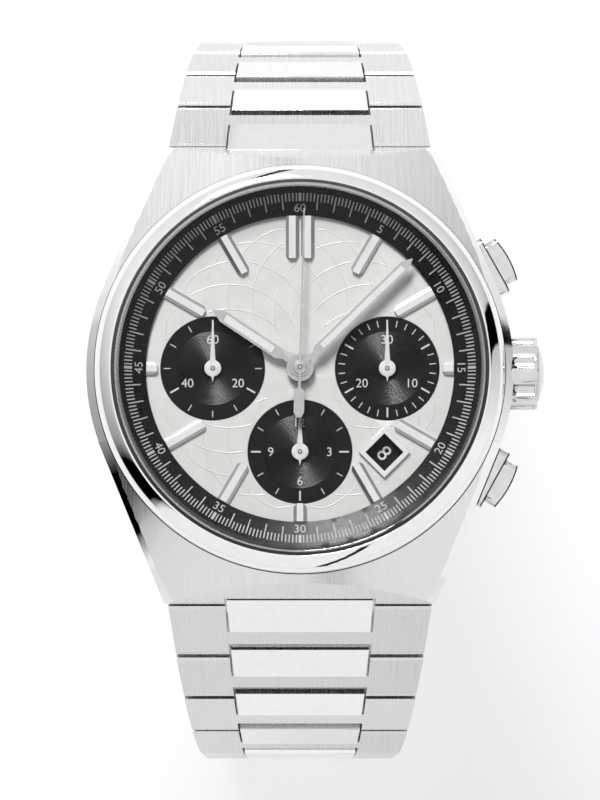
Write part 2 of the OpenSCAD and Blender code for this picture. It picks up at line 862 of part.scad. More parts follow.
// A baton hand pointing to 12 o'clock, with a slot that holds a luminous bar
module baton_hand(len, w, hub_r, bore_r, z) {
    bar_w = w - 2 * lume_border;
    bar_start = hand_neck + w;
    bar_end = len - w - lume_border;
    translate([0, 0, z]) {
        linear_extrude(hand_t)
            difference() {
                union() {
                    circle(hub_r);
                    polygon([
                        [-w / 5, 0], [w / 5, 0], [w / 5, hand_neck], [w / 2, hand_neck + w / 2],
                        [w / 2, len - w], [hand_point / 2, len], [-hand_point / 2, len],
                        [-w / 2, len - w], [-w / 2, hand_neck + w / 2], [-w / 5, hand_neck]
                    ]);
                }
                circle(bore_r);
                translate([-bar_w / 2, bar_start]) square([bar_w, bar_end - bar_start]);
            }
        linear_extrude(hand_t)
            translate([-bar_w / 2 + seat_gap, bar_start + seat_gap])
                square([bar_w - 2 * seat_gap, bar_end - bar_start - 2 * seat_gap]);
    }
}

// A tapered hand with a pointed tail on its own arbor
module small_hand(at, depth)
    translate([at.x, at.y, 0]) {
        translate([0, 0, sub_hand_z])
            linear_extrude(hand_t)
                union() {
                    circle(sub_hub_r);
                    polygon([
                        [-sub_hand_w / 2, 0], [0, -sub_hand_tail], [sub_hand_w / 2, 0],
                        [hand_point / 2, sub_hand_len], [-hand_point / 2, sub_hand_len]
                    ]);
                }
        disc(sub_arbor_r, -depth, sub_hand_z + hand_t);
    }

module minute_hand()
    color(polished)
        from_dial()
            clockwise(minute_angle)
                baton_hand(minute_len, minute_w, minute_hub_r, cannon_tube_r + seat_gap, minute_z);

module hour_hand()
    color(polished)
        from_dial()
            clockwise(hour_angle)
                baton_hand(hour_len, hour_w, hour_hub_r, hour_tube_r + seat_gap, hour_z);

module chrono_seconds_hand()
    color(polished)
        from_dial() {
            clockwise(chrono_angle)
                translate([0, 0, chrono_z])
                    linear_extrude(hand_t)
                        union() {
                            circle(chrono_hub_r);
                            polygon([
                                [-chrono_w, 0], [chrono_w, 0],
                                [hand_point / 2, chrono_len], [-hand_point / 2, chrono_len]
                            ]);
                            polygon([
                                [-chrono_w, 0], [-chrono_w, -chrono_tail / 2 + chrono_blade],
                                [-chrono_blade, -chrono_tail / 2],
                                [-chrono_blade, -chrono_tail + chrono_blade],
                                [-chrono_blade / 2, -chrono_tail], [chrono_blade / 2, -chrono_tail],
                                [chrono_blade, -chrono_tail + chrono_blade],
                                [chrono_blade, -chrono_tail / 2],
                                [chrono_w, -chrono_tail / 2 + chrono_blade], [chrono_w, 0]
                            ]);
                        }
            disc(chrono_arbor_r, -plate_base + fold_gap, chrono_z + hand_t + chrono_cap);
        }

module small_seconds_hand() color(silver_white) from_dial() small_hand(subdials_at[0], arbor_depth);

module minute_counter_hand() color(silver_white) from_dial() small_hand(subdials_at[1], arbor_depth);

module hour_counter_hand() color(silver_white) from_dial() small_hand(subdials_at[2], arbor_depth);

module date_disc()
    color(black)
        from_dial()
            ring(date_disc_out_r, date_disc_in_r, date_disc_z, date_disc_z + date_disc_t);

// Motion work

module at_minute_wheel()
    rotate([0, 0, motion_angle]) translate([motion_distance, 0, 0]) children();

module cannon_pinion()
    color(steel)
        from_dial()
            difference() {
                union() {
                    translate([0, 0, minute_wheel_z])
                        rotate([0, 0, motion_angle])
                            linear_extrude(wheel_t)
                                gear_outline(cannon_teeth, cannon_module);
                    disc(cannon_tube_r, minute_wheel_z, minute_z + hand_t);
                }
                disc(chrono_arbor_r + run_gap, -far, far);
            }

module minute_wheel()
    color(brass)
        from_dial()
            at_minute_wheel()
                difference() {
                    union() {
                        translate([0, 0, minute_wheel_z])
                            rotate([0, 0, 180 + 180 / minute_wheel_teeth])
                                linear_extrude(wheel_t)
                                    gear_outline(minute_wheel_teeth, cannon_module);
                        translate([0, 0, minute_wheel_z + wheel_t / 2])
                            rotate([0, 0, 180])
                                linear_extrude(wheel_t * 3 / 2 + wheel_gap)
                                    gear_outline(minute_pinion_teeth, hour_module);
                    }
                    disc(minute_post_r + run_gap, -far, far);
                }

module hour_wheel()
    color(brass)
        from_dial()
            difference() {
                union() {
                    translate([0, 0, hour_wheel_z])
                        rotate([0, 0, motion_angle + 180 / hour_wheel_teeth])
                            linear_extrude(wheel_t)
                                gear_outline(hour_wheel_teeth, hour_module);
                    disc(hour_tube_r, hour_wheel_z, hour_z + hand_t);
                }
                disc(cannon_tube_r + run_gap, -far, far);
            }

// Movement

module movement_ring()
    color(steel)
        from_dial()
            difference() {
                ring(cavity_r - seat_gap, plate_r + seat_gap, -case_depth + fold_gap, -dial_t - seat_gap);
                at_crown() rod_x_span(crown_tube_bore_r + fold_gap, cavity_r / 2, far);
                for (side = [-1, 1])
                    at_pusher(side) rod_x_span(pusher_stem_r + fold_gap, cavity_r / 2, far);
            }

module main_plate()
    color(brass)
        from_dial() {
            difference() {
                disc(plate_r, -plate_base, -plate_top);
                disc(pocket_r, -pocket_depth, far);
                disc(chrono_arbor_r + run_gap, -far, far);
                for (p = subdials_at)
                    translate(p) disc(sub_arbor_r + run_gap, -arbor_depth - fold_gap, far);
                translate(barrel_at) {
                    disc(barrel_r + fold_gap, -far, barrel_z + barrel_t + fold_gap);
                    disc(barrel_arbor_r + run_gap, -far, barrel_z + barrel_t + 2 * fold_gap + run_gap);
                }
                translate(balance_at) {
                    disc(balance_r + fold_gap, -far, balance_z + balance_t + fold_gap);
                    disc(staff_r + run_gap, -far, balance_z + balance_t + 2 * fold_gap + run_gap);
                }
                at_crown() rod_x_span(stem_r + run_gap, stem_in - fold_gap, far);
            }
            at_minute_wheel() disc(minute_post_r, -pocket_depth - seat_gap, hour_wheel_z + wheel_t);
        }

// The direction from the movement's centre to the balance
module at_balance_arm() translate(balance_at) rotate([0, 0, atan2(balance_at.y, balance_at.x)]) children();

module train_bridge()
    color(steel)
        from_dial() {
            difference() {
                disc(bridge_r, bridge_z, bridge_z + bridge_t);
                translate(balance_at) disc(balance_r + fold_gap, -far, far);
                at_balance_arm()
                    translate([0, -cock_w / 2 - fold_gap, -far / 2])
                        cube([far, cock_w + 2 * fold_gap, far]);
                translate(barrel_at) disc(barrel_arbor_r + run_gap, -far, far);
            }
            disc(rotor_post_r, rotor_z - rotor_web_t - run_gap, bridge_z + seat_gap);
        }

module balance_cock()
    color(steel)
        from_dial()
            at_balance_arm()
                difference() {
                    translate([0, 0, bridge_z])
                        linear_extrude(bridge_t)
                            union() {
                                circle(cock_w / 2);
                                translate([0, -cock_w / 2])
                                    square([bridge_r - norm(balance_at) - fold_gap, cock_w]);
                            }
                    disc(staff_r + run_gap, -far, far);
                }

module balance_wheel()
    color(brass)
        from_dial()
            translate(balance_at) {
                ring(balance_r, balance_r - balance_rim, balance_z, balance_z + balance_t);
                translate([0, 0, balance_z + balance_t / 4])
                    linear_extrude(balance_t / 2)
                        square([2 * balance_r - balance_rim, balance_rim], center = true);
                disc(staff_r, bridge_z + run_gap, balance_z + balance_t + 2 * fold_gap);
            }

module mainspring_barrel()
    color(brass)
        from_dial()
            translate(barrel_at) {
                disc(barrel_r, barrel_z, barrel_z + barrel_t);
                disc(barrel_arbor_r, bridge_z + run_gap, barrel_z + barrel_t + 2 * fold_gap);
            }

module rotor()
    color(steel)
        from_dial()
            difference() {
                union() {
                    intersection() {
                        union() {
                            disc(rotor_r, rotor_z - rotor_web_t, rotor_z);
                            ring(rotor_r, rotor_r - rotor_rim_w, rotor_z - rotor_rim_t, rotor_z);
                        }
                        translate([-far / 2, -far, -far / 2]) cube(far);
                    }
                    disc(rotor_hub_r, rotor_z - rotor_web_t, rotor_z);
                }
                disc(rotor_post_r + run_gap, -far, far);
            }

// Case back

// Everything that the link next to the case needs, from its underside outward
module first_link_room(side)
    at_case_end(side)
        rotate([end_angle - first_angle, 0, 0])
            translate([-far / 2, -far / 2, -link_base - fold_gap])
                cube(far);

module case_back()
    color(polished)
        from_dial()
            difference() {
                union() {
                    disc(back_r, back_z - back_rim_t, back_z - seat_gap);
                    disc(back_mid_r, back_z - back_rim_t - back_mid_t, back_z - back_rim_t + seat_gap);
                }
                disc(window_r, -far, far);
                disc(window_r + window_lip, window_z, far);
                for (side = [-1, 1]) first_link_room(side);
                at_screws() {
                    disc(screw_r + seat_gap, -far, far);
                    disc(screw_head_r + seat_gap, -far, back_z - back_rim_t + screw_head_t);
                }
            }

module case_back_crystal()
    color(clear)
        from_dial()
            disc(window_r + window_lip - seat_gap, window_z + seat_gap, window_z + window_t);

module case_back_screws()
    color(polished)
        from_dial()
            at_screws()
                translate([0, 0, back_z - back_rim_t])
                    difference() {
                        union() {
                            disc(screw_head_r, 0, screw_head_t - seat_gap);
                            disc(screw_r, 0, screw_len);
                        }
                        cube([2 * screw_head_r + 1, screw_slot, screw_head_t], center = true);
                    }

module case_tubes()
    color(polished)
        from_dial() {
            at_crown()
                difference() {
                    rod_x_span(crown_tube_r, cavity_r, crown_face + crown_tube_out);
                    rod_x_span(crown_tube_bore_r, 0, far);
                }
            for (side = [-1, 1])
                at_pusher(side)
                    difference() {
                        union() {
                            rod_x_span(pusher_tube_r, cavity_r, collar_in + collar_floor / 2);
                            pusher_block(collar_len, collar_h, collar_round, collar_in, collar_reach);
                        }
                        rod_x_span(pusher_stem_r + run_gap, 0, far);
                        rod_x_span(chamber_r, spring_seat, far);
                        pusher_block(
                            cap_len + 2 * cap_gap, cap_h + 2 * cap_gap, cap_round + cap_gap,
                            collar_in + collar_floor, far
                        );
                    }
        }

module spring_bars()
    color(steel)
        from_dial()
            for (side = [-1, 1])
                at_case_end(side) rod_x(pin_r, bracelet_w - 2 * spring_bar_inset);

// Crown and pushers

module crown_gasket()
    color(rubber)
        from_dial()
            at_crown()
                difference() {
                    rod_x_span(
                        crown_cavity_r - run_gap,
                        crown_face + fold_gap, crown_face + fold_gap + crown_gasket_w
                    );
                    rod_x_span(crown_tube_r + run_gap, 0, far);
                }

module crown()
    color(polished)
        from_dial()
            at_crown()
                difference() {
                    rotate([0, 90, 0])
                        rotate_extrude()
                            union() {
                                translate([0, crown_face]) square([crown_r, crown_flute_len]);
                                intersection() {
                                    translate([0, crown_face]) square([crown_cap_r, crown_end]);
                                    translate([0, crown_end - crown_dome_r]) circle(crown_dome_r);
                                }
                            }
                    for (k = [0 : crown_flutes - 1])
                        rotate([flute_turn + 360 * k / crown_flutes, 0, 0])
                            translate([0, crown_r + flute_r / 3, 0])
                                rod_x_span(flute_r, 0, crown_face + crown_flute_len - flute_end);
                    rod_x_span(crown_cavity_r, 0, crown_face + crown_cavity_len);
                    rod_x_span(stem_r + seat_gap, 0, crown_face + crown_cavity_len + stem_grip);
                }

module winding_stem()
    color(steel)
        from_dial()
            at_crown()
                rod_x_span(stem_r, stem_in, crown_face + crown_cavity_len + stem_grip - seat_gap);

module pusher(side)
    color(polished)
        from_dial()
            at_pusher(side) {
                intersection() {
                    pusher_block(cap_len, cap_h, cap_round, cap_rest, cap_reach + 1);
                    translate([cap_reach - cap_bow_r, 0, 0]) cylinder(r = cap_bow_r, h = far, center = true);
                }
                rod_x_span(pusher_stem_r, pusher_stem_in, cap_rest + seat_gap);
            }

module pusher_spring(side)
    color(steel)
        from_dial()
            at_pusher(side)
                coil_x(spring_r, spring_wire_r, spring_turns, spring_seat, cap_rest);

module start_pusher() pusher(1);

module reset_pusher() pusher(-1);

module start_spring() pusher_spring(1);

module reset_spring() pusher_spring(-1);

// Bracelet

// The two dowels that join a link's centre piece to its crossbar, ending at a distance along the link
module link_dowels(i, r, s)
    for (x = [-1, 1])
        translate([x * centre_share * link_w(i, s) / 4, s - dowel_len, 0])
            rotate([-90, 0, 0])
                cylinder(r = r, h = dowel_len + groove + dowel_r);

// One link: a brushed H, a polished centre piece that hangs on the pin before it, and its own pin
module link(i, side) {
    p = pitch(i);
    near_end = pin_inset + joint_gap;
    far_end = p + pin_inset;
    bar_far = p - bar_end;
    bar_near = bar_far - crossbar_w;
    centre_far = bar_near - groove;
    color(steel)
        at_link(i, side) {
            difference() {
                union() {
                    difference() {
                        intersection() {
                            extrude_x(far)
                                polygon([
                                    [near_end, 0], [near_end, link_top - link_chamfer],
                                    [near_end + link_chamfer, link_top], [far_end - link_chamfer, link_top],
                                    [far_end, link_top - link_chamfer], [far_end, -link_base],
                                    [near_end + link_base * tan(end_relief), -link_base]
                                ]);
                            link_plan(i, 1, 0, 0, far_end + 1);
                        }
                        link_plan(i, centre_share, slot_gap, -1, far_end + 2);
                    }
                    intersection() {
                        extrude_x(far)
                            difference() {
                                translate([bar_near, -link_base]) square([crossbar_w, link_base + link_top]);
                                translate([p, 0]) circle(eye_r + eye_gap);
                            }
                        link_plan(i, centre_share, slot_gap + link_top / 2, 0, far_end);
                    }
                    link_dowels(i, dowel_r, centre_far);
                }
                translate([0, p, 0]) rod_x(pin_r + seat_gap, far);
            }
            difference() {
                intersection() {
                    extrude_x(far)
                        union() {
                            circle(eye_r);
                            polygon([
                                [-lead(i), 0], [-lead(i), link_top + centre_rise],
                                [centre_far, link_top + centre_rise],
                                [centre_far, -link_base], [0, -link_base]
                            ]);
                        }
                    link_plan(i, centre_share, 0, -2 * eye_r, p);
                }
                rod_x(pin_r + run_gap, far);
                translate([0, -seat_gap, 0]) link_dowels(i, dowel_r + seat_gap, centre_far);
            }
            translate([0, p, 0]) rod_x(pin_r, link_w(i, p) - 2 * pin_end_inset);
        }
}

// Clasp, measured along the loop from the last pin of the upper side and outward from it

module clasp_inner_blade() {
    neck_w = centre_share * width_at(link_count) - 2 * slot_gap;
    shoulder_s = pin_inset + 2 * fold_gap;
    tab_w = knuckle_w - 2 * slot_gap;
    color(steel)
        at_link(link_count + 1, 1)
            difference() {
                union() {
                    extrude_x(neck_w)
                        union() {
                            circle(eye_r);
                            translate([0, inner_blade_base]) square([shoulder_s + blade_t, blade_t]);
                        }
                    extrude_x(blade_w)
                        translate([shoulder_s, inner_blade_base])
                            square([blade_hinge_s + hinge_eye_r - shoulder_s, blade_t]);
                    extrude_x(tab_w)
                        union() {
                            translate([blade_hinge_s, hinge_depth]) circle(hinge_eye_r);
                            translate([blade_hinge_s - hinge_eye_r, inner_blade_base])
                                square([2 * hinge_eye_r, hinge_depth - inner_blade_base]);
                        }
                }
                rod_x(pin_r + run_gap, far);
                translate([0, blade_hinge_s, hinge_depth]) rod_x(hinge_pin_r + run_gap, far);
            }
}

module clasp_outer_blade()
    color(steel)
        at_link(link_count + 1, 1) {
            difference() {
                extrude_x(blade_w)
                    union() {
                        translate([cover_hinge_s, hinge_depth]) circle(hinge_eye_r);
                        translate([blade_hinge_s, hinge_depth]) circle(hinge_eye_r);
                        translate([cover_hinge_s, outer_blade_base])
                            square([blade_hinge_s - cover_hinge_s, blade_t]);
                    }
                translate([-knuckle_w / 2, blade_hinge_s - hinge_eye_r - fold_gap, -far / 2])
                    cube([knuckle_w, far, far]);
                translate([0, cover_hinge_s, hinge_depth]) rod_x(hinge_pin_r + run_gap, far);
                translate([0, blade_hinge_s, hinge_depth]) rod_x(hinge_pin_r + seat_gap, far);
            }
            translate([0, blade_hinge_s, hinge_depth]) rod_x(hinge_pin_r, blade_w - 2 * pin_end_inset);
        }

module clasp_cover() {
    face = cover_base + cover_t;
    plate_start = cover_hinge_s + hinge_eye_r + fold_gap;
    wall_base = hinge_depth - wall_end_r;
    color(steel)
        at_link(link_count + 1, 1) {
            difference() {
                union() {
                    extrude_x(cover_w)
                        union() {
                            translate([plate_start, cover_base])
                                square([cover_end_s - cover_round - plate_start, cover_t]);
                            translate([plate_start, cover_base])
                                square([cover_end_s - plate_start, cover_t - cover_round]);
                            translate([cover_end_s - cover_round, face - cover_round]) circle(cover_round);
                        }
                    for (side = [-1, 1])
                        translate([side * (cover_w - cover_wall) / 2, 0, 0])
                            extrude_x(cover_wall)
                                union() {
                                    translate([cover_hinge_s, hinge_depth]) circle(wall_end_r);
                                    polygon([
                                        [cover_hinge_s, wall_base],
                                        [cover_end_s - 2 * cover_base, wall_base],
                                        [cover_end_s - cover_base, cover_base + cover_t / 4],
                                        [cover_end_s - cover_base, face - cover_t / 4],
                                        [plate_start + cover_t, face - cover_t / 4],
                                        [cover_hinge_s, hinge_depth + wall_end_r]
                                    ]);
                                }
                }
                translate([0, cover_hinge_s, hinge_depth]) rod_x(hinge_pin_r + seat_gap, far);
            }
            translate([0, cover_hinge_s, hinge_depth]) rod_x(hinge_pin_r, cover_w - 2 * pin_end_inset);
        }
}

case_middle();
bezel();
crystal();
seals();
flange_ring();
dial_plate();
subdials();
hour_markers();
date_frame();
movement_ring();
main_plate();
train_bridge();
balance_cock();
case_back();
case_back_crystal();
case_back_screws();
case_tubes();
spring_bars();
minute_hand();
cannon_pinion();
hour_hand();
hour_wheel();
minute_wheel();
chrono_seconds_hand();
small_seconds_hand();
minute_counter_hand();
hour_counter_hand();
date_disc();
balance_wheel();
mainspring_barrel();
rotor();
crown_gasket();
crown();
winding_stem();
start_pusher();
reset_pusher();
start_spring();
reset_spring();
for (i = [1 : link_count]) {
    link(i, 1);
    link(i, -1);
}
clasp_cover();
clasp_outer_blade();
clasp_inner_blade();
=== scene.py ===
import math

import bmesh
import bpy
from mathutils import Matrix, Vector


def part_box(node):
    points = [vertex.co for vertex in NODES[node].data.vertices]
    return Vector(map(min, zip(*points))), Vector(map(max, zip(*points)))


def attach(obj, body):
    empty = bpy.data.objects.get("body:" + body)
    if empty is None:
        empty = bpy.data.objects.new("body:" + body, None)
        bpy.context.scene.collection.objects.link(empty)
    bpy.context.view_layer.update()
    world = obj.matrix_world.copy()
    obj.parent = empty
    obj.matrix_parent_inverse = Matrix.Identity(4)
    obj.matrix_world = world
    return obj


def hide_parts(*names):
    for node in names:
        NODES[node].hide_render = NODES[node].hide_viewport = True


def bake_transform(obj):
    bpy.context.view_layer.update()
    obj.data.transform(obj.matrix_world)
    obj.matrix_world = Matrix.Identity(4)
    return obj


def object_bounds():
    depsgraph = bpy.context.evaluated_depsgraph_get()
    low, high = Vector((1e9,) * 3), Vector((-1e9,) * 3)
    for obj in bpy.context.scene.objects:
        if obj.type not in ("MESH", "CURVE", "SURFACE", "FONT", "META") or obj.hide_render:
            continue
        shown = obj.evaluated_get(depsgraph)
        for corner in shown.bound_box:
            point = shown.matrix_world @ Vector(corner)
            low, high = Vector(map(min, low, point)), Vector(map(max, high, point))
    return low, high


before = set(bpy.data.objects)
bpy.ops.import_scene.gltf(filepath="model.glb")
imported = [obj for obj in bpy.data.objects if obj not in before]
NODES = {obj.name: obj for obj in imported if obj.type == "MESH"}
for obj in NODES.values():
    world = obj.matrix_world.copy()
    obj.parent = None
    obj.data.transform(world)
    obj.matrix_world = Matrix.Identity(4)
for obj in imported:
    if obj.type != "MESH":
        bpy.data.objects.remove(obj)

# Looks of a chronograph wristwatch. X points to 3 o'clock, Y to 12 o'clock and Z out of the dial.

CAD_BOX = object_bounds()
MM = 0.001

# Sizes in millimetres
FLANGE_IN_R = 14.75
FLANGE_OUT_R = 17.4
FLANGE_LIP = 0.35
FLANGE_RISE = 1.5
SUBDIAL_R = 5.0
SUBDIAL_SIDE = 8.35
SUBDIAL_LOW = 8.0
SUBDIAL_TOP = -0.02
DATE_R = 11.4
DATE_ANGLE = -45.0
DATE_HALF = 1.75
MARKER_W = 1.25
MARKER_LEN = 4.15
SHOULDER_SLOPE = 41.0
CASE_R = 20.5
CASE_TOP = -0.1
BEZEL_FOOT_R = 19.65
PRINT_T = 0.012
PRINT_LIFT = 0.002
WELD_GAP = 0.002

# How meshes are cut and softened: reach of a cut in metres, and the turn that counts as an edge
CUT_SNAP = 1e-7
EDGE_TURN = math.radians(28)

# Derived places, in metres
DIAL_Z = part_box("dial_plate")[1].z
LOWEST_Z = CAD_BOX[0][2]
LINK_SIDES = ("upper", "lower")
LINK_COUNT = sum(name.startswith("upper_link_") for name in NODES)
SUBDIALS = {
    "left": (-SUBDIAL_SIDE, 0.0),
    "right": (SUBDIAL_SIDE, 0.0),
    "low": (0.0, -SUBDIAL_LOW),
}


# Small helpers

def dial_point(x, y, z):
    """A point in metres from millimetres measured on the dial's face."""
    return Vector((x * MM, y * MM, DIAL_Z + z * MM))


def clock(angle):
    """The direction of an angle in degrees, clockwise from 12 o'clock."""
    turn = math.radians(angle)
    return Vector((math.sin(turn), math.cos(turn), 0.0))


def link_to_scene(obj):
    bpy.context.scene.collection.objects.link(obj)
    return obj


def piece(name, bm, body, material, smooth_angle=40.0):
    """A new mesh object that rides on a body, made from a bmesh in metres."""
    mesh = bpy.data.meshes.new(name)
    bmesh.ops.recalc_face_normals(bm, faces=bm.faces)
    bm.to_mesh(mesh)
    bm.free()
    mesh.materials.append(material)
    mesh.shade_smooth()
    mesh.set_sharp_from_angle(angle=math.radians(smooth_angle))
    obj = link_to_scene(bpy.data.objects.new(name, mesh))
    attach(obj, body)
    return obj


def add_prism(bm, outline, lift):
    """Adds a closed prism: the outline's points, and the same points moved by lift."""
    base = [bm.verts.new(p) for p in outline]
    top = [bm.verts.new(p + lift) for p in outline]
    bm.faces.new(base[::-1])
    bm.faces.new(top)
    for k in range(len(base)):
        n = (k + 1) % len(base)
        bm.faces.new((base[k], base[n], top[n], top[k]))


# Camera

CAMERA_DISTANCE = 0.525
CAMERA_TILT = 5.875
VIEW_HEIGHT = 76.5 * MM
AIM = dial_point(0.0, -3.03, 0.0)


def make_camera():
    data = bpy.data.cameras.new("camera")
    data.sensor_fit = "VERTICAL"
    data.sensor_height = 36.0
    data.lens = data.sensor_height * CAMERA_DISTANCE / VIEW_HEIGHT
    data.clip_start = 0.01
    data.clip_end = 10.0
    camera = link_to_scene(bpy.data.objects.new("camera", data))
    tilt = math.radians(CAMERA_TILT)
    toward = Vector((0.0, -math.sin(tilt), math.cos(tilt)))
    camera.location = AIM + toward * CAMERA_DISTANCE
    camera.rotation_euler = (tilt, 0.0, 0.0)
    bpy.context.scene.camera = camera


make_camera()


# Materials

# The span of a noise that carries a material's two tones and its roughness
GRAIN_LOW = 0.3
GRAIN_HIGH = 0.7


def new_material(name):
    """A material, its node tree and its Principled shader."""
    mat = bpy.data.materials.new(name)
    mat.use_nodes = True
    tree = mat.node_tree
    shader = tree.nodes["Principled BSDF"]
    return mat, tree, shader


def object_coords(tree, scale):
    """Object coordinates, which are the part's own frame in metres, times a scale per axis."""
    coords = tree.nodes.new("ShaderNodeTexCoord")
    mapping = tree.nodes.new("ShaderNodeMapping")
    mapping.inputs["Scale"].default_value = scale
    tree.links.new(coords.outputs["Object"], mapping.inputs["Vector"])
    return mapping.outputs["Vector"]


def noise(tree, vector, scale=1.0, detail=3.0, roughness=0.55):
    node = tree.nodes.new("ShaderNodeTexNoise")
    node.inputs["Scale"].default_value = scale
    node.inputs["Detail"].default_value = detail
    node.inputs["Roughness"].default_value = roughness
    tree.links.new(vector, node.inputs["Vector"])
    return node.outputs["Fac"]


def to_range(tree, value, low, high):
    node = tree.nodes.new("ShaderNodeMapRange")
    node.inputs["From Min"].default_value = GRAIN_LOW
    node.inputs["From Max"].default_value = GRAIN_HIGH
    node.inputs["To Min"].default_value = low
    node.inputs["To Max"].default_value = high
    tree.links.new(value, node.inputs["Value"])
    return node.outputs["Result"]


def two_tone(tree, value, dark, light):
    node = tree.nodes.new("ShaderNodeValToRGB")
    node.color_ramp.elements[0].position = GRAIN_LOW
    node.color_ramp.elements[0].color = (*dark, 1.0)
    node.color_ramp.elements[1].position = GRAIN_HIGH
    node.color_ramp.elements[1].color = (*light, 1.0)
    tree.links.new(value, node.inputs["Fac"])
    return node.outputs["Color"]


def bump(tree, shader, height, strength, distance):
    node = tree.nodes.new("ShaderNodeBump")
    node.inputs["Strength"].default_value = strength
    node.inputs["Distance"].default_value = distance
    tree.links.new(height, node.inputs["Height"])
    tree.links.new(node.outputs["Normal"], shader.inputs["Normal"])


def textured(name, dark, light, scale, rough, metallic=0.0, bump_strength=0.0, specular=0.5):
    """A surface whose colour, roughness and relief follow one stretched noise."""
    mat, tree, shader = new_material(name)
    shader.inputs["Specular IOR Level"].default_value = specular
    grain = noise(tree, object_coords(tree, scale))
    tree.links.new(two_tone(tree, grain, dark, light), shader.inputs["Base Color"])
    tree.links.new(to_range(tree, grain, *rough), shader.inputs["Roughness"])
    shader.inputs["Metallic"].default_value = metallic
    if bump_strength:
        bump(tree, shader, grain, bump_strength, 0.00002)
    return mat


def clear_material(name, colour, alpha, roughness):
    """Thin clear glass: mostly see-through, with its gloss kept, and a faint unevenness."""
    mat, tree, shader = new_material(name)
    shader.inputs["Base Color"].default_value = (*colour, 1.0)
    shader.inputs["Alpha"].default_value = alpha
    shader.inputs["IOR"].default_value = 1.5
    grain = noise(tree, object_coords(tree, (60.0, 60.0, 60.0)))
    tree.links.new(to_range(tree, grain, roughness, roughness * 1.4), shader.inputs["Roughness"])
    return mat


def striped_material(name, dark, light, period, roughness):
    """Metal with broad straight stripes, as on a decorated movement."""
    mat, tree, shader = new_material(name)
    wave = tree.nodes.new("ShaderNodeTexWave")
    wave.wave_type = "BANDS"
    wave.bands_direction = "DIAGONAL"
    wave.wave_profile = "SAW"
    wave.inputs["Scale"].default_value = 1.0 / (20.0 * period)
    wave.inputs["Distortion"].default_value = 0.0
    tree.links.new(object_coords(tree, (1.0, 1.0, 0.0)), wave.inputs["Vector"])
    fine = noise(tree, object_coords(tree, (4000.0, 400.0, 400.0)))
    tree.links.new(two_tone(tree, wave.outputs["Fac"], dark, light), shader.inputs["Base Color"])
    tree.links.new(to_range(tree, fine, roughness, roughness + 0.12), shader.inputs["Roughness"])
    shader.inputs["Metallic"].default_value = 1.0
    bump(tree, shader, wave.outputs["Fac"], 0.25, 0.00003)
    return mat


LENGTHWISE = (16000.0, 160.0, 160.0)
EVEN = (900.0, 900.0, 900.0)

BRUSHED = textured(
    "brushed_steel", (0.73, 0.73, 0.735), (0.81, 0.81, 0.815), LENGTHWISE, (0.22, 0.30), 1.0, 0.2
)
POLISHED = textured("polished_steel", (0.86, 0.86, 0.865), (0.90, 0.90, 0.905), EVEN, (0.025, 0.045), 1.0)
HAND_STEEL = textured("hand_steel", (0.52, 0.52, 0.52), (0.58, 0.58, 0.58), EVEN, (0.20, 0.26), 1.0)
# Steel of the markers and the date frame: light on the tops, and a darker copy on the facets and sides,
# which is painted shade
MARKER_STEEL = textured("marker_steel", (0.84, 0.84, 0.83), (0.89, 0.89, 0.88), EVEN, (0.10, 0.15), 1.0)
MARKER_SIDE_SHADE = textured("marker_side_painted_shade", (0.40, 0.40, 0.40), (0.46, 0.46, 0.46), EVEN, (0.28, 0.34), 1.0)
# Dark steel that paints shade: the dark edges, seams and rims where edges and gaps would lie in shadow
PAINTED_SHADE_STEEL = textured("painted_shade_steel", (0.05, 0.05, 0.052), (0.09, 0.09, 0.092), EVEN, (0.16, 0.22), 1.0)
CROWN_STEEL = textured("crown_steel", (0.66, 0.66, 0.665), (0.76, 0.76, 0.765), EVEN, (0.06, 0.10), 1.0)
LINK_STEEL = textured(
    "link_steel", (0.68, 0.68, 0.685), (0.76, 0.76, 0.765), LENGTHWISE, (0.22, 0.30), 1.0, 0.2
)
STEEL = textured("plain_steel", (0.50, 0.50, 0.51), (0.62, 0.62, 0.63), EVEN, (0.30, 0.42), 1.0, 0.1)
BRASS = textured("gilt_brass", (0.62, 0.47, 0.22), (0.74, 0.58, 0.30), EVEN, (0.28, 0.40), 1.0, 0.12)
RUBBER = textured("gasket_rubber", (0.012, 0.012, 0.012), (0.03, 0.03, 0.03), EVEN, (0.55, 0.7), 0.0, 0.1)
FLANGE_BLACK = textured(
    "flange_black", (0.005, 0.0055, 0.0055), (0.008, 0.0085, 0.0085), EVEN, (0.26, 0.32), specular=0.2
)
SUBDIAL_BLACK = textured(
    "subdial_black", (0.006, 0.006, 0.006), (0.010, 0.010, 0.010), EVEN, (0.42, 0.5), specular=0.12
)
AZURAGE_BLACK = textured(
    "azurage_black", (0.007, 0.007, 0.007), (0.009, 0.009, 0.009), EVEN, (0.27, 0.3), specular=0.2
)
DATE_BLACK = textured(
    "date_black", (0.006, 0.006, 0.006), (0.012, 0.012, 0.012), EVEN, (0.4, 0.5), specular=0.15
)
SILVER = textured(
    "dial_silver", (0.745, 0.748, 0.728), (0.785, 0.788, 0.768), EVEN, (0.36, 0.44), 0.15, 0.05
)
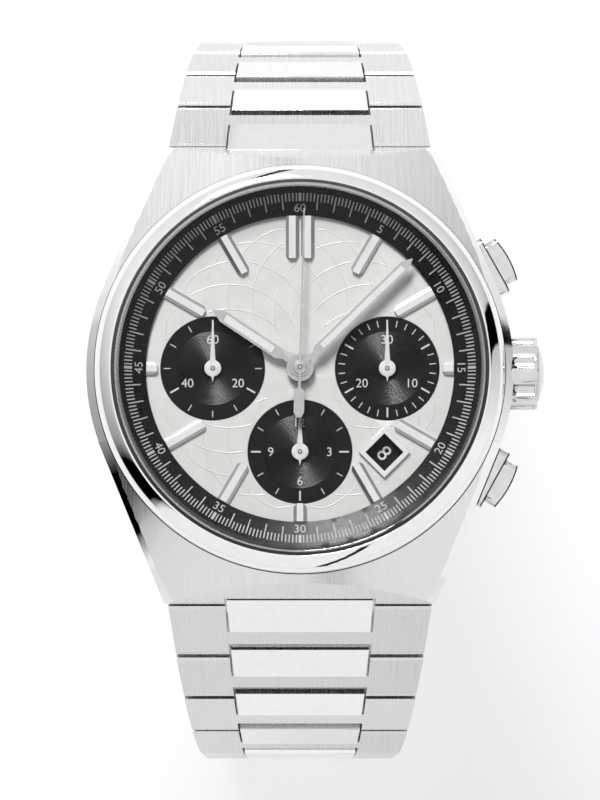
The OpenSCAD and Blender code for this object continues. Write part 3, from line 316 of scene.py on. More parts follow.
# The dial's silver made lighter for the raised rosette lines, a painted highlight
RELIEF_HIGHLIGHT = textured("dial_relief_highlight", (0.80, 0.80, 0.775), (0.85, 0.85, 0.825), EVEN, (0.30, 0.36), 0.15)
LUME = textured(
    "lume_white", (0.86, 0.865, 0.85), (0.92, 0.925, 0.91), (4000.0, 4000.0, 4000.0), (0.5, 0.6), 0.0, 0.1
)
WHITE_HAND = textured("white_hand", (0.80, 0.80, 0.79), (0.86, 0.86, 0.85), EVEN, (0.35, 0.42))
FLANGE_PRINT = textured(
    "flange_print", (0.50, 0.51, 0.50), (0.58, 0.59, 0.58), EVEN, (0.5, 0.6), specular=0.15
)
WHITE_PRINT = textured("white_print", (0.72, 0.72, 0.71), (0.80, 0.80, 0.79), EVEN, (0.5, 0.6))
CRYSTAL = clear_material("crystal_glass", (0.08, 0.08, 0.08), 0.03, 0.02)
CRYSTAL_EDGE = clear_material("crystal_edge", (0.30, 0.30, 0.30), 0.55, 0.15)
BACK_GLASS = clear_material("back_glass", (0.93, 0.95, 0.95), 0.08, 0.03)
STRIPED = striped_material("striped_steel", (0.42, 0.42, 0.43), (0.62, 0.62, 0.63), 2.4 * MM, 0.22)


# CAD nodes: a material, softened edges, and finishes by face

def dress(name, *materials, bevel=0.05, segments=2, pick=None, even=True):
    """Gives a CAD node its materials and soft edges. pick(centre, normal) chooses a material's index."""
    obj = NODES[name]
    mesh = obj.data
    mesh.materials.clear()
    for mat in materials:
        mesh.materials.append(mat)
    for face in mesh.polygons:
        face.material_index = pick(face.center, face.normal) if pick else 0
    if bevel:
        weld = obj.modifiers.new("weld", "WELD")
        weld.merge_threshold = WELD_GAP * MM
        edges = obj.modifiers.new("edges", "BEVEL")
        edges.width = bevel * MM
        edges.segments = segments
        edges.limit_method = "ANGLE"
        edges.angle_limit = EDGE_TURN
        if even:
            normals = obj.modifiers.new("normals", "WEIGHTED_NORMAL")
            normals.keep_sharp = False
    return obj


def crystal_finish(centre, normal):
    """1 on the crystal's bevel and rim, 0 on its faces."""
    return 0 if abs(normal.z) > 0.95 else 1


def marker_finish(centre, normal):
    """0 on a marker's top, 1 on its facets and sides, which get the darker steel as painted shade."""
    return 0 if normal.z > 0.97 else 1


def dress_all():
    dress("bezel", POLISHED)
    dress("crystal", CRYSTAL, CRYSTAL_EDGE, pick=crystal_finish, bevel=0)
    dress("seals", RUBBER, bevel=0.03)
    dress("flange_ring", FLANGE_BLACK, bevel=0.03)
    dress("dial_plate", SILVER, bevel=0.02)
    dress("subdials", SUBDIAL_BLACK, bevel=0.02)
    dress("hour_markers", MARKER_STEEL, MARKER_SIDE_SHADE, pick=marker_finish, bevel=0.03, segments=1, even=False)
    dress("date_frame", MARKER_STEEL, MARKER_SIDE_SHADE, pick=marker_finish, bevel=0.04)
    dress("date_disc", DATE_BLACK, bevel=0.02)
    for name in ("minute_hand", "hour_hand"):
        dress(name, HAND_STEEL, LUME, pick=lume_faces(name), bevel=0)
    dress("chrono_seconds_hand", HAND_STEEL, bevel=0.03)
    for name in ("small_seconds_hand", "minute_counter_hand", "hour_counter_hand"):
        dress(name, WHITE_HAND, bevel=0.03)
    dress("crown_gasket", RUBBER, bevel=0.03)
    for name in ("winding_stem", "spring_bars", "cannon_pinion", "movement_ring"):
        dress(name, STEEL, bevel=0)
    dress("hour_wheel", HAND_STEEL, bevel=0)
    for name in ("main_plate", "minute_wheel", "balance_wheel", "mainspring_barrel"):
        dress(name, BRASS, bevel=0)
    for name in ("train_bridge", "balance_cock", "rotor"):
        dress(name, STRIPED, bevel=0.05)
    dress("case_back", POLISHED, bevel=0.06)
    dress("case_back_screws", POLISHED, bevel=0.03)
    dress("case_back_crystal", BACK_GLASS, bevel=0)
    for name in ("clasp_cover", "clasp_outer_blade", "clasp_inner_blade"):
        dress(name, BRUSHED, bevel=0.08)


def islands(mesh):
    """The mesh's loose pieces, as sets of face indices, with vertices in one place taken as one."""
    parent = {}

    def root(key):
        while parent[key] != key:
            parent[key] = parent[parent[key]]
            key = parent[key]
        return key

    keys = [tuple(round(c, 7) for c in v.co) for v in mesh.vertices]
    for key in keys:
        parent.setdefault(key, key)
    for face in mesh.polygons:
        first = root(keys[face.vertices[0]])
        for v in face.vertices[1:]:
            parent[root(keys[v])] = first
    found = {}
    for face in mesh.polygons:
        found.setdefault(root(keys[face.vertices[0]]), set()).add(face.index)
    return list(found.values())


def spread(mesh, faces, axis):
    """The extent of some faces along an axis."""
    values = [mesh.vertices[v].co[axis] for f in faces for v in mesh.polygons[f].vertices]
    return max(values) - min(values)


def lume_faces(name):
    """Picks the luminous bar of a hand: the loose piece that is not the largest."""
    mesh = NODES[name].data
    parts = sorted(islands(mesh), key=len)
    bar = {mesh.polygons[f].center.copy().freeze() for f in parts[0]} if len(parts) > 1 else set()
    return lambda centre, normal: 1 if centre.copy().freeze() in bar else 0


# Case: brushed, with a polished bevel all round its outline

CASE_BEVEL = 0.85
CASE_EDGE = 0.04
FLANK_BEVEL = 0.6
FLANK_ANGLE = 22.3
BEVEL_TURN = math.radians(2.5)
FLANK_CUTS = (0.5, 1.6, 3.2, 4.8, 6.4, 8.0, 9.6, 11.2, 12.8, 14.4)


def flank_cuts(x, y, places=FLANK_CUTS):
    """Planes of the bevel along one straight flank: a point on its inner edge, normal and way down."""
    slope = math.tan(math.radians(SHOULDER_SLOPE))
    inner = CASE_R - FLANK_BEVEL
    turn = math.radians(FLANK_ANGLE)
    out = Vector((x * math.cos(turn), y * math.sin(turn), 0.0))
    along = Vector((-x * math.sin(turn), y * math.cos(turn), 0.0))
    across = out - Vector((0, 0, 1))
    cuts = []
    for t in places:
        r = math.hypot(inner, t)
        spot = out * inner + along * t
        fall = along + Vector((0, 0, -slope * t / r))
        normal = fall.cross(across).normalized()
        if normal.z < 0:
            normal = -normal
        z = CASE_TOP - (r - CASE_R + CASE_BEVEL) * slope
        cuts.append((dial_point(spot.x, spot.y, z), normal, across))
    return cuts


def keep_finishes_apart(mesh):
    """Sharp edges where two finishes meet, and where the bevels turn."""
    bm = bmesh.new()
    bm.from_mesh(mesh)
    for edge in bm.edges:
        finishes = {face.material_index for face in edge.link_faces}
        if len(finishes) > 1 or (finishes == {1} and edge.calc_face_angle(0.0) > BEVEL_TURN):
            edge.smooth = False
    bm.to_mesh(mesh)
    bm.free()


def make_case():
    """The case, with its bevel carried along its straight flanks."""
    mesh = NODES["case_middle"].data
    bm = island_mesh(mesh, set(range(len(mesh.polygons))))
    planes = [cut for x in (-1, 1) for y in (-1, 1) for cut in flank_cuts(x, y)]
    for spot, normal, across in planes:
        geom = bm.verts[:] + bm.edges[:] + bm.faces[:]
        bmesh.ops.bisect_plane(
            bm, geom=geom, dist=CUT_SNAP, plane_co=spot, plane_no=normal, clear_outer=True
        )
        rim = [e for e in bm.edges if e.is_boundary]
        filled = bmesh.ops.edgeloop_fill(bm, edges=rim)
        for face in filled["faces"]:
            face.material_index = 1
    bmesh.ops.recalc_face_normals(bm, faces=bm.faces)
    bm.normal_update()
    for face in bm.faces:
        out = face.calc_center_median()
        out.z = 0.0
        ring = out.length > (CASE_R - 1.0) * MM and 0.6 < face.normal.z < 0.75
        if ring and face.normal.dot(out.normalized()) > 0.6:
            face.material_index = 1
    case = piece("case_shell", bm, "case", BRUSHED)
    case.data.materials.append(POLISHED)
    keep_finishes_apart(case.data)
    soften(case, CASE_EDGE, 2)
    case.modifiers["normals"].keep_sharp = True
    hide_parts("case_middle")


# Bracelet links: a brushed frame, rounded along the bracelet, and a polished centre piece

LINK_ROUND = 0.35
LINK_ARC = 62.0
LINK_ARC_STEPS = 4
LINK_EDGE = 0.05
LINK_GAP = 0.13
CENTRE_EDGE = 0.08
CENTRE_GAP = 0.13
LOOP_Z = CAD_BOX[1][2] / 2


def island_mesh(mesh, faces):
    """A bmesh of some of a mesh's faces, welded, with flat areas as single faces."""
    bm = bmesh.new()
    bm.from_mesh(mesh)
    bm.faces.ensure_lookup_table()
    bmesh.ops.delete(bm, geom=[f for f in bm.faces if f.index not in faces], context="FACES")
    bmesh.ops.remove_doubles(bm, verts=bm.verts, dist=WELD_GAP * MM)
    bmesh.ops.dissolve_limit(bm, angle_limit=math.radians(1.0), verts=bm.verts, edges=bm.edges)
    return bm


def outer_face(bm):
    """The largest flat face that looks out of the bracelet's loop."""
    def outward(face):
        away = face.calc_center_median() - Vector((0.0, 0.0, LOOP_Z))
        away.x = 0.0
        return face.normal.dot(away.normalized())
    bm.normal_update()
    return max((f for f in bm.faces if outward(f) > 0.7), key=lambda f: f.calc_area())


def round_ends(bm, normal):
    """Rounds the outer side of a link down towards the joint at its far end."""
    along = Vector((1, 0, 0)).cross(normal)
    radius = LINK_ROUND * MM
    top = max(v.co.dot(normal) for v in bm.verts) - 0.02 * MM
    outer = [v.co for v in bm.verts if v.co.dot(normal) > top]
    places = [co.dot(along) for co in outer]
    low, high = min(places), max(places)
    reach = radius * math.sin(math.radians(LINK_ARC))
    far = max(outer, key=lambda co: (co - dial_point(0, 0, 0)).length)
    if far.dot(along) < (low + high) / 2:
        along = -along
        high = -low
    for k in range(LINK_ARC_STEPS):
        at = high - reach + radius * math.sin(math.radians(LINK_ARC * k / LINK_ARC_STEPS))
        geom = bm.verts[:] + bm.edges[:] + bm.faces[:]
        bmesh.ops.bisect_plane(bm, geom=geom, dist=CUT_SNAP, plane_co=along * at, plane_no=along)
    for v in bm.verts:
        if v.co.dot(normal) > top:
            beyond = max(0.0, v.co.dot(along) - (high - reach))
            v.co -= normal * (radius - math.sqrt(radius ** 2 - beyond ** 2))


def narrow(bm, axes, gap):
    """Draws a piece in by a gap at both of its ends along some axes."""
    for axis in axes:
        places = [v.co.dot(axis) for v in bm.verts]
        middle = (min(places) + max(places)) / 2
        share = 2 * gap * MM / (max(places) - min(places))
        for v in bm.verts:
            v.co -= axis * ((v.co.dot(axis) - middle) * share)


def soften(obj, width, segments):
    """Rounds a piece's edges and evens its shading."""
    edges = obj.modifiers.new("edges", "BEVEL")
    edges.width = width * MM
    edges.segments = segments
    edges.limit_method = "ANGLE"
    edges.angle_limit = EDGE_TURN
    normals = obj.modifiers.new("normals", "WEIGHTED_NORMAL")
    normals.keep_sharp = False


def make_link(side, i):
    """The two visible pieces of a link."""
    node = f"{side}_link_{i}"
    mesh = NODES[node].data
    parts = sorted(islands(mesh), key=lambda faces: spread(mesh, faces, 0))
    frame_bm = island_mesh(mesh, set().union(*parts[1:]))
    normal = outer_face(frame_bm).normal.copy()
    across = Vector((1, 0, 0))
    narrow(frame_bm, [across.cross(normal)], LINK_GAP)
    round_ends(frame_bm, normal)
    body = f"{side}_{i}"
    link_frame = piece(f"{node}_frame", frame_bm, body, LINK_STEEL)
    soften(link_frame, LINK_EDGE, 2)
    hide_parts(node)
    centre_bm = island_mesh(mesh, parts[0])
    normal = outer_face(centre_bm).normal.copy()
    narrow(centre_bm, [across, across.cross(normal)], CENTRE_GAP)
    centre = piece(f"{node}_centre", centre_bm, body, POLISHED)
    soften(centre, CENTRE_EDGE, 3)


# Crown, pushers and tubes, with soft edges painted dark as shade, and painted shade seams on the pushers
# and tubes

SHELLS = {
    "crown": "crown",
    "start_pusher": "start_button",
    "reset_pusher": "reset_button",
    "case_tubes": "case",
}
SHELL_EDGE = 0.12
PUSHER_ANGLE = 29.0
COLLAR_REACH = 21.5
COLLAR_CLEAR = 5.0
CAP_REACH = 23.0
CAP_BOW_R = 9.0
CAP_TURNS = (-12, -8, -4, 0, 4, 8, 12)
SEAM_W = 0.15


def pusher_planes(side, node):
    """Planes that set off the painted shade seams of a pusher's cap or of its collar."""
    turn = math.radians(PUSHER_ANGLE) * side
    axis = Vector((math.cos(turn), math.sin(turn), 0.0))
    if node == "case_tubes":
        flank = math.radians(FLANK_ANGLE) * side
        out = Vector((math.cos(flank), math.sin(flank), 0.0))
        return [(axis * (COLLAR_REACH - SEAM_W) * MM, axis), (out * (CASE_R + SEAM_W) * MM, -out)]
    planes = []
    for degrees in CAP_TURNS:
        way = Matrix.Rotation(math.radians(degrees), 3, "Z") @ axis
        spot = axis * (CAP_REACH - CAP_BOW_R) + way * (CAP_BOW_R - SEAM_W)
        planes.append((spot * MM, way))
    return planes


def set_off(bm, side, planes):
    """Cuts a mesh along planes and paints shade in dark steel on what lies beyond them on one side of the
    crown.
    """
    for spot, normal in planes:
        geom = bm.verts[:] + bm.edges[:] + bm.faces[:]
        bmesh.ops.bisect_plane(bm, geom=geom, dist=CUT_SNAP, plane_co=spot, plane_no=normal)
    bm.normal_update()
    for face in bm.faces:
        centre = face.calc_center_median()
        for spot, normal in planes:
            beyond = (centre - spot).dot(normal) > 0 and abs(face.normal.dot(normal)) < 0.8
            if beyond and centre.y * side > COLLAR_CLEAR * MM:
                face.material_index = 1


def make_shell(node, body):
    """A polished piece from a CAD node, with soft edges painted darker as shade."""
    mesh = NODES[node].data
    bm = island_mesh(mesh, set(range(len(mesh.polygons))))
    if node != "crown":
        for side in (-1, 1):
            set_off(bm, side, pusher_planes(side, node))
    shell = piece(f"{node}_shell", bm, body, CROWN_STEEL)
    shell.data.materials.append(PAINTED_SHADE_STEEL)
    soften(shell, SHELL_EDGE, 2)
    # The bevel faces take the dark steel: painted shade along the edges
    shell.modifiers["edges"].material = 1
    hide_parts(node)


# Pins at the middle of the hands, each in a dark rim painted as shade, and a dark strip painted as shade
# around the bezel's foot

PINS = {
    "small_seconds": ("small_seconds_hand", SUBDIALS["left"]),
    "minute_counter": ("minute_counter_hand", SUBDIALS["right"]),
    "hour_counter": ("hour_counter_hand", SUBDIALS["low"]),
    "chrono_seconds": ("chrono_seconds_hand", (0.0, 0.0)),
}
PIN_R = 0.15
PIN_RIM = 0.08
PIN_H = 0.05
PIN_SIDES = 24
PIN_LAYERS = (
    # The rim is dark steel, painted shade round the pin
    ("rim", PIN_R + PIN_RIM, PIN_H / 2, PAINTED_SHADE_STEEL),
    ("pin", PIN_R, PIN_H, HAND_STEEL),
)
SEAM_SIDES = 180
SEAM_LIFT = 0.02


def make_pin(body, node, at):
    """A pin on top of a hand's hub, in a wider and lower dark rim, painted shade round the pin."""
    top = (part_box(node)[1].z - DIAL_Z) / MM
    for name, r, lift, material in PIN_LAYERS:
        bm = bmesh.new()
        ways = [clock(360.0 * k / PIN_SIDES) * r for k in range(PIN_SIDES)]
        outline = [dial_point(at[0] + way.x, at[1] + way.y, top) for way in ways]
        add_prism(bm, outline, Vector((0, 0, lift * MM)))
        piece(f"{body}_{name}", bm, body, material)


# Return springs, with the button that each one pushes and the button's side of the crown
SPRINGS = {"start_spring": ("start_button", 1), "reset_spring": ("reset_button", -1)}


def make_spring(node):
    """A return spring, copied in place from its CAD node in plain steel."""
    source = NODES[node]
    mesh = source.data.copy()
    mesh.transform(source.matrix_world)
    mesh.materials.clear()
    mesh.materials.append(STEEL)
    obj = link_to_scene(bpy.data.objects.new(f"{node}_coil", mesh))
    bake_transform(obj)
    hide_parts(node)


def make_seam():
    """Painted shade: a dark strip on the shoulder, where the bezel's foot meets it."""
    turn = math.radians(SHOULDER_SLOPE)
    bm = bmesh.new()
    rings = []
    for r in (BEZEL_FOOT_R - SEAM_LIFT, BEZEL_FOOT_R + SEAM_W / 2):
        ring = []
        z = CASE_TOP - (r - BEZEL_FOOT_R) * math.tan(turn)
        for k in range(SEAM_SIDES):
            out = clock(360.0 * k / SEAM_SIDES)
            normal = out * math.sin(turn) + Vector((0, 0, math.cos(turn)))
            spot = dial_point(out.x * r, out.y * r, z)
            ring.append(bm.verts.new(spot + normal * (SEAM_LIFT * MM)))
        rings.append(ring)
    for k in range(SEAM_SIDES):
        n = (k + 1) % SEAM_SIDES
        bm.faces.new((rings[0][k], rings[0][n], rings[1][n], rings[1][k]))
    piece("bezel_seam_shade", bm, "case", PAINTED_SHADE_STEEL)


# Scale ring

def flange_point(direction, r, lift):
    """A point on the scale ring's slope, lifted off it, in metres."""
    share = (r - FLANGE_IN_R) / (FLANGE_OUT_R - FLANGE_IN_R)
    z = FLANGE_LIP + share * (FLANGE_RISE - FLANGE_LIP) + lift
    return dial_point(direction.x * r, direction.y * r, z)


def add_tick(bm, angle, r0, r1, width):
    """A printed radial bar on the scale ring."""
    along = clock(angle)
    side = Vector((along.y, -along.x, 0.0)) * (width * MM / 2)
    inner = flange_point(along, r0, 0.001)
    outer = flange_point(along, r1, 0.001)
    add_prism(bm, [inner - side, inner + side, outer + side, outer - side], Vector((0, 0, PRINT_T * MM)))


def add_text(bm, text, size, place):
    """Adds a number, centred, drawn in a plane given by a 4x4 matrix, size in millimetres."""
    curve = bpy.data.curves.new("number", "FONT")
    curve.body = text
    curve.size = size * MM
    curve.align_x = "CENTER"
    curve.align_y = "CENTER"
    curve.extrude = PRINT_T * MM / 2
    curve.resolution_u = 4
    obj = link_to_scene(bpy.data.objects.new("number", curve))
    bpy.context.view_layer.update()
    evaluated = obj.evaluated_get(bpy.context.evaluated_depsgraph_get())
    mesh = bpy.data.meshes.new_from_object(evaluated)
    middle = sum((Vector(c) for c in obj.bound_box), Vector()) / 8
    mesh.transform(place @ Matrix.Translation(-middle))
    bm.from_mesh(mesh)
    bpy.data.objects.remove(obj)
    bpy.data.meshes.remove(mesh)


def plane_at(origin, right, up):
    """The matrix of a plane through a point, with its own right and up."""
    z = right.cross(up)
    turn = Matrix((right, up, z)).transposed().to_4x4()
    return Matrix.Translation(origin) @ turn


SCALE_DIVISIONS = 300
TICK_IN_R = 16.04
TICK_OUT_R = 16.79
TICK_W = 0.115
SECOND_IN_R = 15.30
SECOND_OUT_R = 16.72
SECOND_W = 0.12
BAR_W = 0.26
FLANGE_DIGIT_R = 15.42
FLANGE_DIGIT = 1.18
FLANGE_DIGIT_LIFT = 0.01


def make_flange_scale():
    """The scale's strokes and its numbers, which read upright in the lower half too."""
    bm = bmesh.new()
    for k in range(SCALE_DIVISIONS):
        angle = 360.0 * k / SCALE_DIVISIONS
        if k % 25 == 0:
            add_tick(bm, angle, TICK_IN_R, TICK_OUT_R, BAR_W)
        elif k % 5 == 0:
            add_tick(bm, angle, SECOND_IN_R, SECOND_OUT_R, SECOND_W)
        else:
            add_tick(bm, angle, TICK_IN_R, TICK_OUT_R, TICK_W)
    piece("flange_scale", bm, "case", FLANGE_PRINT)

    bm = bmesh.new()
    slope = math.atan2(FLANGE_RISE - FLANGE_LIP, FLANGE_OUT_R - FLANGE_IN_R)
    for minute in range(5, 65, 5):
        out = clock(6.0 * minute)
        up = out * math.cos(slope) + Vector((0, 0, math.sin(slope)))
        if 20 <= minute <= 40:
            up = -up
        normal = Vector((0, 0, math.cos(slope))) - out * math.sin(slope)
        right = up.cross(normal)
        spot = flange_point(out, FLANGE_DIGIT_R, FLANGE_DIGIT_LIFT)
        add_text(bm, str(minute), FLANGE_DIGIT, plane_at(spot, right, up))
    piece("flange_numbers", bm, "case", FLANGE_PRINT)


# Sub-dials

AZURAGE_R = 3.55
AZURAGE_HOLE_R = 0.5
AZURAGE_PITCH = 0.12
AZURAGE_DEPTH = 0.025
RING_SIDES = 128


def make_azurage(name, at):
    """A disc of fine concentric grooves, sunk into a sub-dial."""
    count = round((AZURAGE_R - AZURAGE_HOLE_R) / AZURAGE_PITCH)
    profile = [(AZURAGE_HOLE_R, SUBDIAL_TOP)]
    for k in range(count):
        r = AZURAGE_HOLE_R + k * (AZURAGE_R - AZURAGE_HOLE_R) / count
        step = (AZURAGE_R - AZURAGE_HOLE_R) / count
        profile.append((r, SUBDIAL_TOP + PRINT_LIFT))
        profile.append((r + step / 2, SUBDIAL_TOP + PRINT_LIFT + AZURAGE_DEPTH))
    profile.append((AZURAGE_R, SUBDIAL_TOP + PRINT_LIFT))
    profile.append((AZURAGE_R, SUBDIAL_TOP))
    bm = bmesh.new()
    rings = []
    for r, z in profile:
        ring = []
        for s in range(RING_SIDES):
            turn = 2 * math.pi * s / RING_SIDES
            ring.append(bm.verts.new(dial_point(at[0] + r * math.cos(turn), at[1] + r * math.sin(turn), z)))
        rings.append(ring)
    for a, b in zip(rings, rings[1:]):
        for s in range(RING_SIDES):
            n = (s + 1) % RING_SIDES
            bm.faces.new((a[s], a[n], b[n], b[s]))
    piece(f"azurage_{name}", bm, "case", AZURAGE_BLACK, smooth_angle=20.0)


SUB_SCALES = {
    "left": {"count": 12, "long_every": 4, "numbers": {0: "60", 4: "20", 8: "40"}},
    "right": {"count": 30, "long_every": 5, "numbers": {0: "30", 10: "10", 20: "20"}},
    "low": {"count": 12, "long_every": 3, "numbers": {0: "12", 3: "3", 6: "6", 9: "9"}},
}
SUB_TICK_OUT = 4.68
SUB_TICK_IN = 4.05
SUB_TICK_LONG_IN = 3.75
SUB_TICK_W = 0.085
SUB_TICK_LONG_W = 0.16
SUB_DIGIT_R = 2.8
SUB_DIGIT = 1.2
SUB_DIGIT_LIFT = 0.03


def make_sub_scale(name, at, scale):
    """A sub-dial's strokes and numbers."""
    bm = bmesh.new()
    centre = Vector((at[0], at[1], 0.0))
    for k in range(scale["count"]):
        out = clock(360.0 * k / scale["count"])
        long = k % scale["long_every"] == 0
        width = SUB_TICK_LONG_W if long else SUB_TICK_W
        side = Vector((out.y, -out.x, 0.0)) * (width / 2)
        r0 = SUB_TICK_LONG_IN if long else SUB_TICK_IN
        corners = [centre + out * r0 - side, centre + out * r0 + side,
                   centre + out * SUB_TICK_OUT + side, centre + out * SUB_TICK_OUT - side]
        outline = [dial_point(c.x, c.y, SUBDIAL_TOP + PRINT_LIFT) for c in corners]
        add_prism(bm, outline, Vector((0, 0, PRINT_T * MM)))
    for k, text in scale["numbers"].items():
        spot = centre + clock(360.0 * k / scale["count"]) * SUB_DIGIT_R
        at_digit = dial_point(spot.x, spot.y, SUBDIAL_TOP + SUB_DIGIT_LIFT)
        place = plane_at(at_digit, Vector((1, 0, 0)), Vector((0, 1, 0)))
        add_text(bm, text, SUB_DIGIT, place)
    piece(f"sub_scale_{name}", bm, "case", WHITE_PRINT)


# Dial relief: a rosette of interlaced circles, raised a little and kept clear of everything on the dial

ROSETTE_CIRCLES = 18
ROSETTE_R = 6.9
ROSETTE_STEPS = 240
ROSETTE_W = 0.11
ROSETTE_H = 0.035
ROSETTE_EDGE = 13.6
ROSETTE_HOLE = 4.2
SUBDIAL_CLEAR = 0.25
DATE_CLEAR = 0.15
MARKER_CLEAR = 0.15
MARKER_END_CLEAR = 0.2


def dial_is_free(p):
    """True where nothing stands on the dial at p, in millimetres."""
    if not ROSETTE_HOLE < p.length < ROSETTE_EDGE:
        return False
    for at in SUBDIALS.values():
        if (p - Vector((*at, 0.0))).length < SUBDIAL_R + SUBDIAL_CLEAR:
            return False
    date = Vector((math.cos(math.radians(DATE_ANGLE)), math.sin(math.radians(DATE_ANGLE)), 0.0))
    across = abs(p.dot(Vector((-date.y, date.x, 0.0))))
    if max(abs(p.dot(date) - DATE_R), across) < DATE_HALF + DATE_CLEAR:
        return False
    for hour in range(12):
        along = clock(30.0 * hour)
        half = MARKER_W + 2 * MARKER_CLEAR if hour == 0 else MARKER_W / 2 + MARKER_CLEAR
        beside = abs(p.dot(Vector((along.y, -along.x, 0))))
        if p.dot(along) > FLANGE_IN_R - MARKER_LEN - MARKER_END_CLEAR and beside < half:
            return False
    return True


def add_ribbon(bm, points):
    """A raised line along points in millimetres, with sloping sides."""
    rows = []
    for k, p in enumerate(points):
        ahead = (points[min(k + 1, len(points) - 1)] - points[max(k - 1, 0)]).normalized()
        side = Vector((ahead.y, -ahead.x, 0.0))
        row = []
        for offset, z in ((-0.5, 0.0), (-0.22, ROSETTE_H), (0.22, ROSETTE_H), (0.5, 0.0)):
            q = p + side * (offset * ROSETTE_W)
            row.append(bm.verts.new(dial_point(q.x, q.y, z)))
        rows.append(row)
    for a, b in zip(rows, rows[1:]):
        for k in range(3):
            bm.faces.new((a[k], a[k + 1], b[k + 1], b[k]))


def make_rosette():
    bm = bmesh.new()
    for c in range(ROSETTE_CIRCLES):
        centre = clock(360.0 * c / ROSETTE_CIRCLES) * ROSETTE_R
        run = []
        for s in range(ROSETTE_STEPS + 1):
            turn = 360.0 * s / ROSETTE_STEPS
            p = centre + clock(turn) * ROSETTE_R
            if dial_is_free(p):
                run.append(p)
                continue
            if len(run) > 2:
                add_ribbon(bm, run)
            run = []
        if len(run) > 2:
            add_ribbon(bm, run)
    piece("dial_rosette", bm, "case", RELIEF_HIGHLIGHT, smooth_angle=80.0)


DATE_DIGIT = 2.1


def make_date_number():
    out = Vector((math.cos(math.radians(DATE_ANGLE)), math.sin(math.radians(DATE_ANGLE)), 0.0))
    top = (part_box("date_disc")[1].z - DIAL_Z) / MM + 0.01
    spot = out * DATE_R
    right = out
    up = Vector((-out.y, out.x, 0.0))
    bm = bmesh.new()
    add_text(bm, "8", DATE_DIGIT, plane_at(dial_point(spot.x, spot.y, top), right, up))
    piece("date_number", bm, "date", WHITE_PRINT)


# Stage: floor, surround and light

FLOOR_HALF = 1.5
FLOOR_DROP = 0.0002
FLOOR_GREY = 0.28
FLOOR_GLOW = 0.78
WORLD_SOFT = 0.13


def seen_rays(tree):
    """1 for camera, glossy and transmission rays, 0 for the others."""
    path = tree.nodes.new("ShaderNodeLightPath")
    seen = tree.nodes.new("ShaderNodeMath")
    seen.operation = "MAXIMUM"
    also = tree.nodes.new("ShaderNodeMath")
    also.operation = "MAXIMUM"
    tree.links.new(path.outputs["Is Camera Ray"], seen.inputs[0])
    tree.links.new(path.outputs["Is Glossy Ray"], seen.inputs[1])
    tree.links.new(seen.outputs[0], also.inputs[0])
    tree.links.new(path.outputs["Is Transmission Ray"], also.inputs[1])
    return also.outputs[0]


def make_floor():
    bm = bmesh.new()
    corners = [Vector((x * FLOOR_HALF, y * FLOOR_HALF, LOWEST_Z - FLOOR_DROP)) for x, y in
               ((-1, -1), (1, -1), (1, 1), (-1, 1))]
    bm.faces.new([bm.verts.new(c) for c in corners])
    mesh = bpy.data.meshes.new("floor")
    bm.to_mesh(mesh)
    bm.free()
    mat, tree, shader = new_material("floor_white")
    shader.inputs["Base Color"].default_value = (FLOOR_GREY, FLOOR_GREY, FLOOR_GREY, 1.0)
    shader.inputs["Specular IOR Level"].default_value = 0.0
    grain = noise(tree, object_coords(tree, (40.0, 40.0, 40.0)))
    tree.links.new(to_range(tree, grain, 0.75, 0.85), shader.inputs["Roughness"])
    shader.inputs["Emission Color"].default_value = (1.0, 1.0, 1.0, 1.0)
    glow = tree.nodes.new("ShaderNodeMath")
    glow.operation = "MULTIPLY"
    glow.inputs[1].default_value = FLOOR_GLOW
    tree.links.new(seen_rays(tree), glow.inputs[0])
    tree.links.new(glow.outputs[0], shader.inputs["Emission Strength"])
    mesh.materials.append(mat)
    floor = link_to_scene(bpy.data.objects.new("floor", mesh))


def make_world():
    world = bpy.data.worlds.new("studio")
    bpy.context.scene.world = world
    world.use_nodes = True
    tree = world.node_tree
    tree.nodes.clear()
    white = tree.nodes.new("ShaderNodeBackground")
    white.inputs["Color"].default_value = (1.0, 1.0, 1.0, 1.0)
    white.inputs["Strength"].default_value = 1.0
    soft = tree.nodes.new("ShaderNodeBackground")
    soft.inputs["Color"].default_value = (1.0, 1.0, 1.0, 1.0)
    soft.inputs["Strength"].default_value = WORLD_SOFT
    mix = tree.nodes.new("ShaderNodeMixShader")
    out = tree.nodes.new("ShaderNodeOutputWorld")
    tree.links.new(seen_rays(tree), mix.inputs["Fac"])
    tree.links.new(soft.outputs[0], mix.inputs[1])
    tree.links.new(white.outputs[0], mix.inputs[2])
    tree.links.new(mix.outputs[0], out.inputs["Surface"])


# A standing surround of plain grey panels, which polished steel mirrors as it would in a studio

SURROUND_R = 0.8
SURROUND_LIFTS = (4.0, 12.0, 30.0, 48.0, 66.0)
# Panels by clock angle at the foot and at the top, and level low and high, where 1 is white
SURROUND = (
    (-6, -26, 0.92, 0.92), (-5, -25, 0.0, 0.0), (-2, -22, 0.0, 0.0), (-1, -21, 0.92, 0.92),
    (26, 26, 0.75, 0.9), (60, 60, 0.5, 0.85), (65, 65, 0.45, 0.8), (66, 66, 0.0, 0.0),
    (77, 77, 0.0, 0.0), (78, 78, 0.55, 0.6), (106, 106, 1.0, 1.0), (171, 151, 0.95, 0.95),
    (172, 152, 0.0, 0.0), (175, 155, 0.0, 0.0), (176, 156, 0.95, 0.95), (228, 228, 0.95, 0.95),
    (233, 233, 0.0, 0.0), (248, 248, 0.0, 0.0), (255, 255, 0.35, 0.35), (270, 270, 0.45, 0.65),
    (304, 304, 0.85, 1.0), (354, 334, 0.92, 0.92),
)


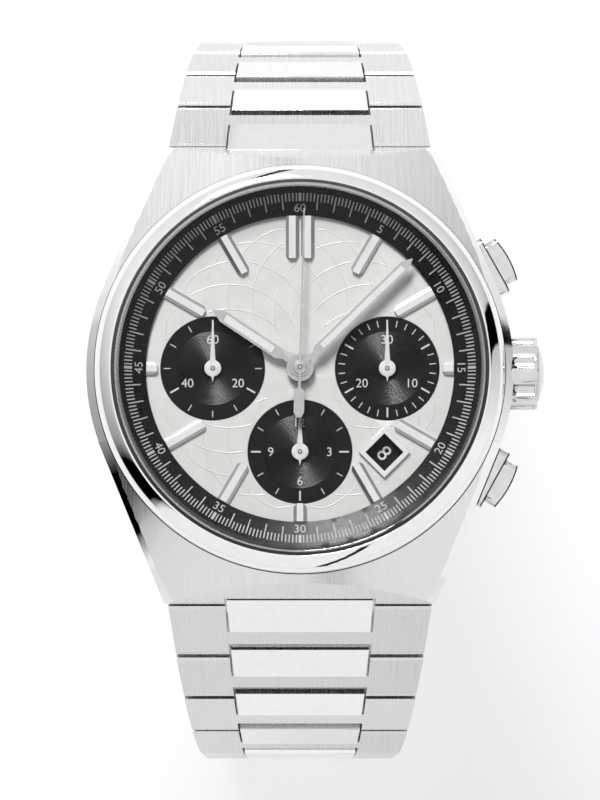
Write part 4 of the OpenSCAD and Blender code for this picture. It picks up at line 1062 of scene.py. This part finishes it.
def make_surround():
    """Panels on the floor all round, which stand in no view's way and are seen in mirror images."""
    bm = bmesh.new()
    rows = []
    levels = []
    for foot, top, low, high in SURROUND:
        feet = clock(foot) * SURROUND_R
        row = [bm.verts.new(Vector((feet.x, feet.y, LOWEST_Z)))]
        for lift in SURROUND_LIFTS:
            turn = math.radians(lift)
            angle = foot + (top - foot) * lift / SURROUND_LIFTS[-1]
            out = clock(angle) * (SURROUND_R * math.cos(turn))
            row.append(bm.verts.new(Vector((out.x, out.y, DIAL_Z + SURROUND_R * math.sin(turn)))))
        rows.append(row)
        rise = (high - low) / len(SURROUND_LIFTS)
        levels.extend(low + rise * k for k in range(len(row)))
    for a, b in zip(rows, rows[1:]):
        for k in range(len(a) - 1):
            bm.faces.new((a[k], b[k], b[k + 1], a[k + 1]))
    mesh = bpy.data.meshes.new("surround")
    bm.to_mesh(mesh)
    bm.free()
    mesh.attributes.new("level", "FLOAT", "POINT").data.foreach_set("value", levels)
    mat = bpy.data.materials.new("surround_grey")
    mat.use_nodes = True
    tree = mat.node_tree
    tree.nodes.clear()
    level = tree.nodes.new("ShaderNodeAttribute")
    level.attribute_name = "level"
    glow = tree.nodes.new("ShaderNodeEmission")
    tree.links.new(level.outputs["Fac"], glow.inputs["Strength"])
    out = tree.nodes.new("ShaderNodeOutputMaterial")
    tree.links.new(glow.outputs[0], out.inputs["Surface"])
    mesh.materials.append(mat)
    surround = link_to_scene(bpy.data.objects.new("surround", mesh))
    surround.visible_camera = False
    surround.visible_diffuse = False
    surround.visible_shadow = False
    surround.visible_transmission = False


def softbox(name, place, size, power):
    """An area lamp that looks at the dial."""
    lamp = bpy.data.lights.new(name, "AREA")
    lamp.shape = "RECTANGLE"
    lamp.size, lamp.size_y = size
    lamp.energy = power
    obj = link_to_scene(bpy.data.objects.new(name, lamp))
    obj.location = Vector(place) + Vector((0, 0, DIAL_Z))
    obj.rotation_euler = (-Vector(place)).to_track_quat("-Z", "Y").to_euler()


KEY_AT = (-0.11, 0.445, 0.385)
KEY_SIZE = (0.2, 0.2)
KEY_POWER = 4.6


dress_all()
for link_side in LINK_SIDES:
    for link_index in range(1, LINK_COUNT + 1):
        make_link(link_side, link_index)
make_case()
for shell_node, shell_body in SHELLS.items():
    make_shell(shell_node, shell_body)
for pin_body, (pin_node, pin_at) in PINS.items():
    make_pin(pin_body, pin_node, pin_at)
make_seam()
for spring_node, (spring_body, spring_side) in SPRINGS.items():
    make_spring(spring_node)
make_surround()
make_flange_scale()
for sub_name, sub_at in SUBDIALS.items():
    make_azurage(sub_name, sub_at)
    make_sub_scale(sub_name, sub_at, SUB_SCALES[sub_name])
make_rosette()
make_date_number()
make_floor()
make_world()
softbox("key", KEY_AT, KEY_SIZE, KEY_POWER)
bpy.context.scene.view_settings.view_transform = "Standard"
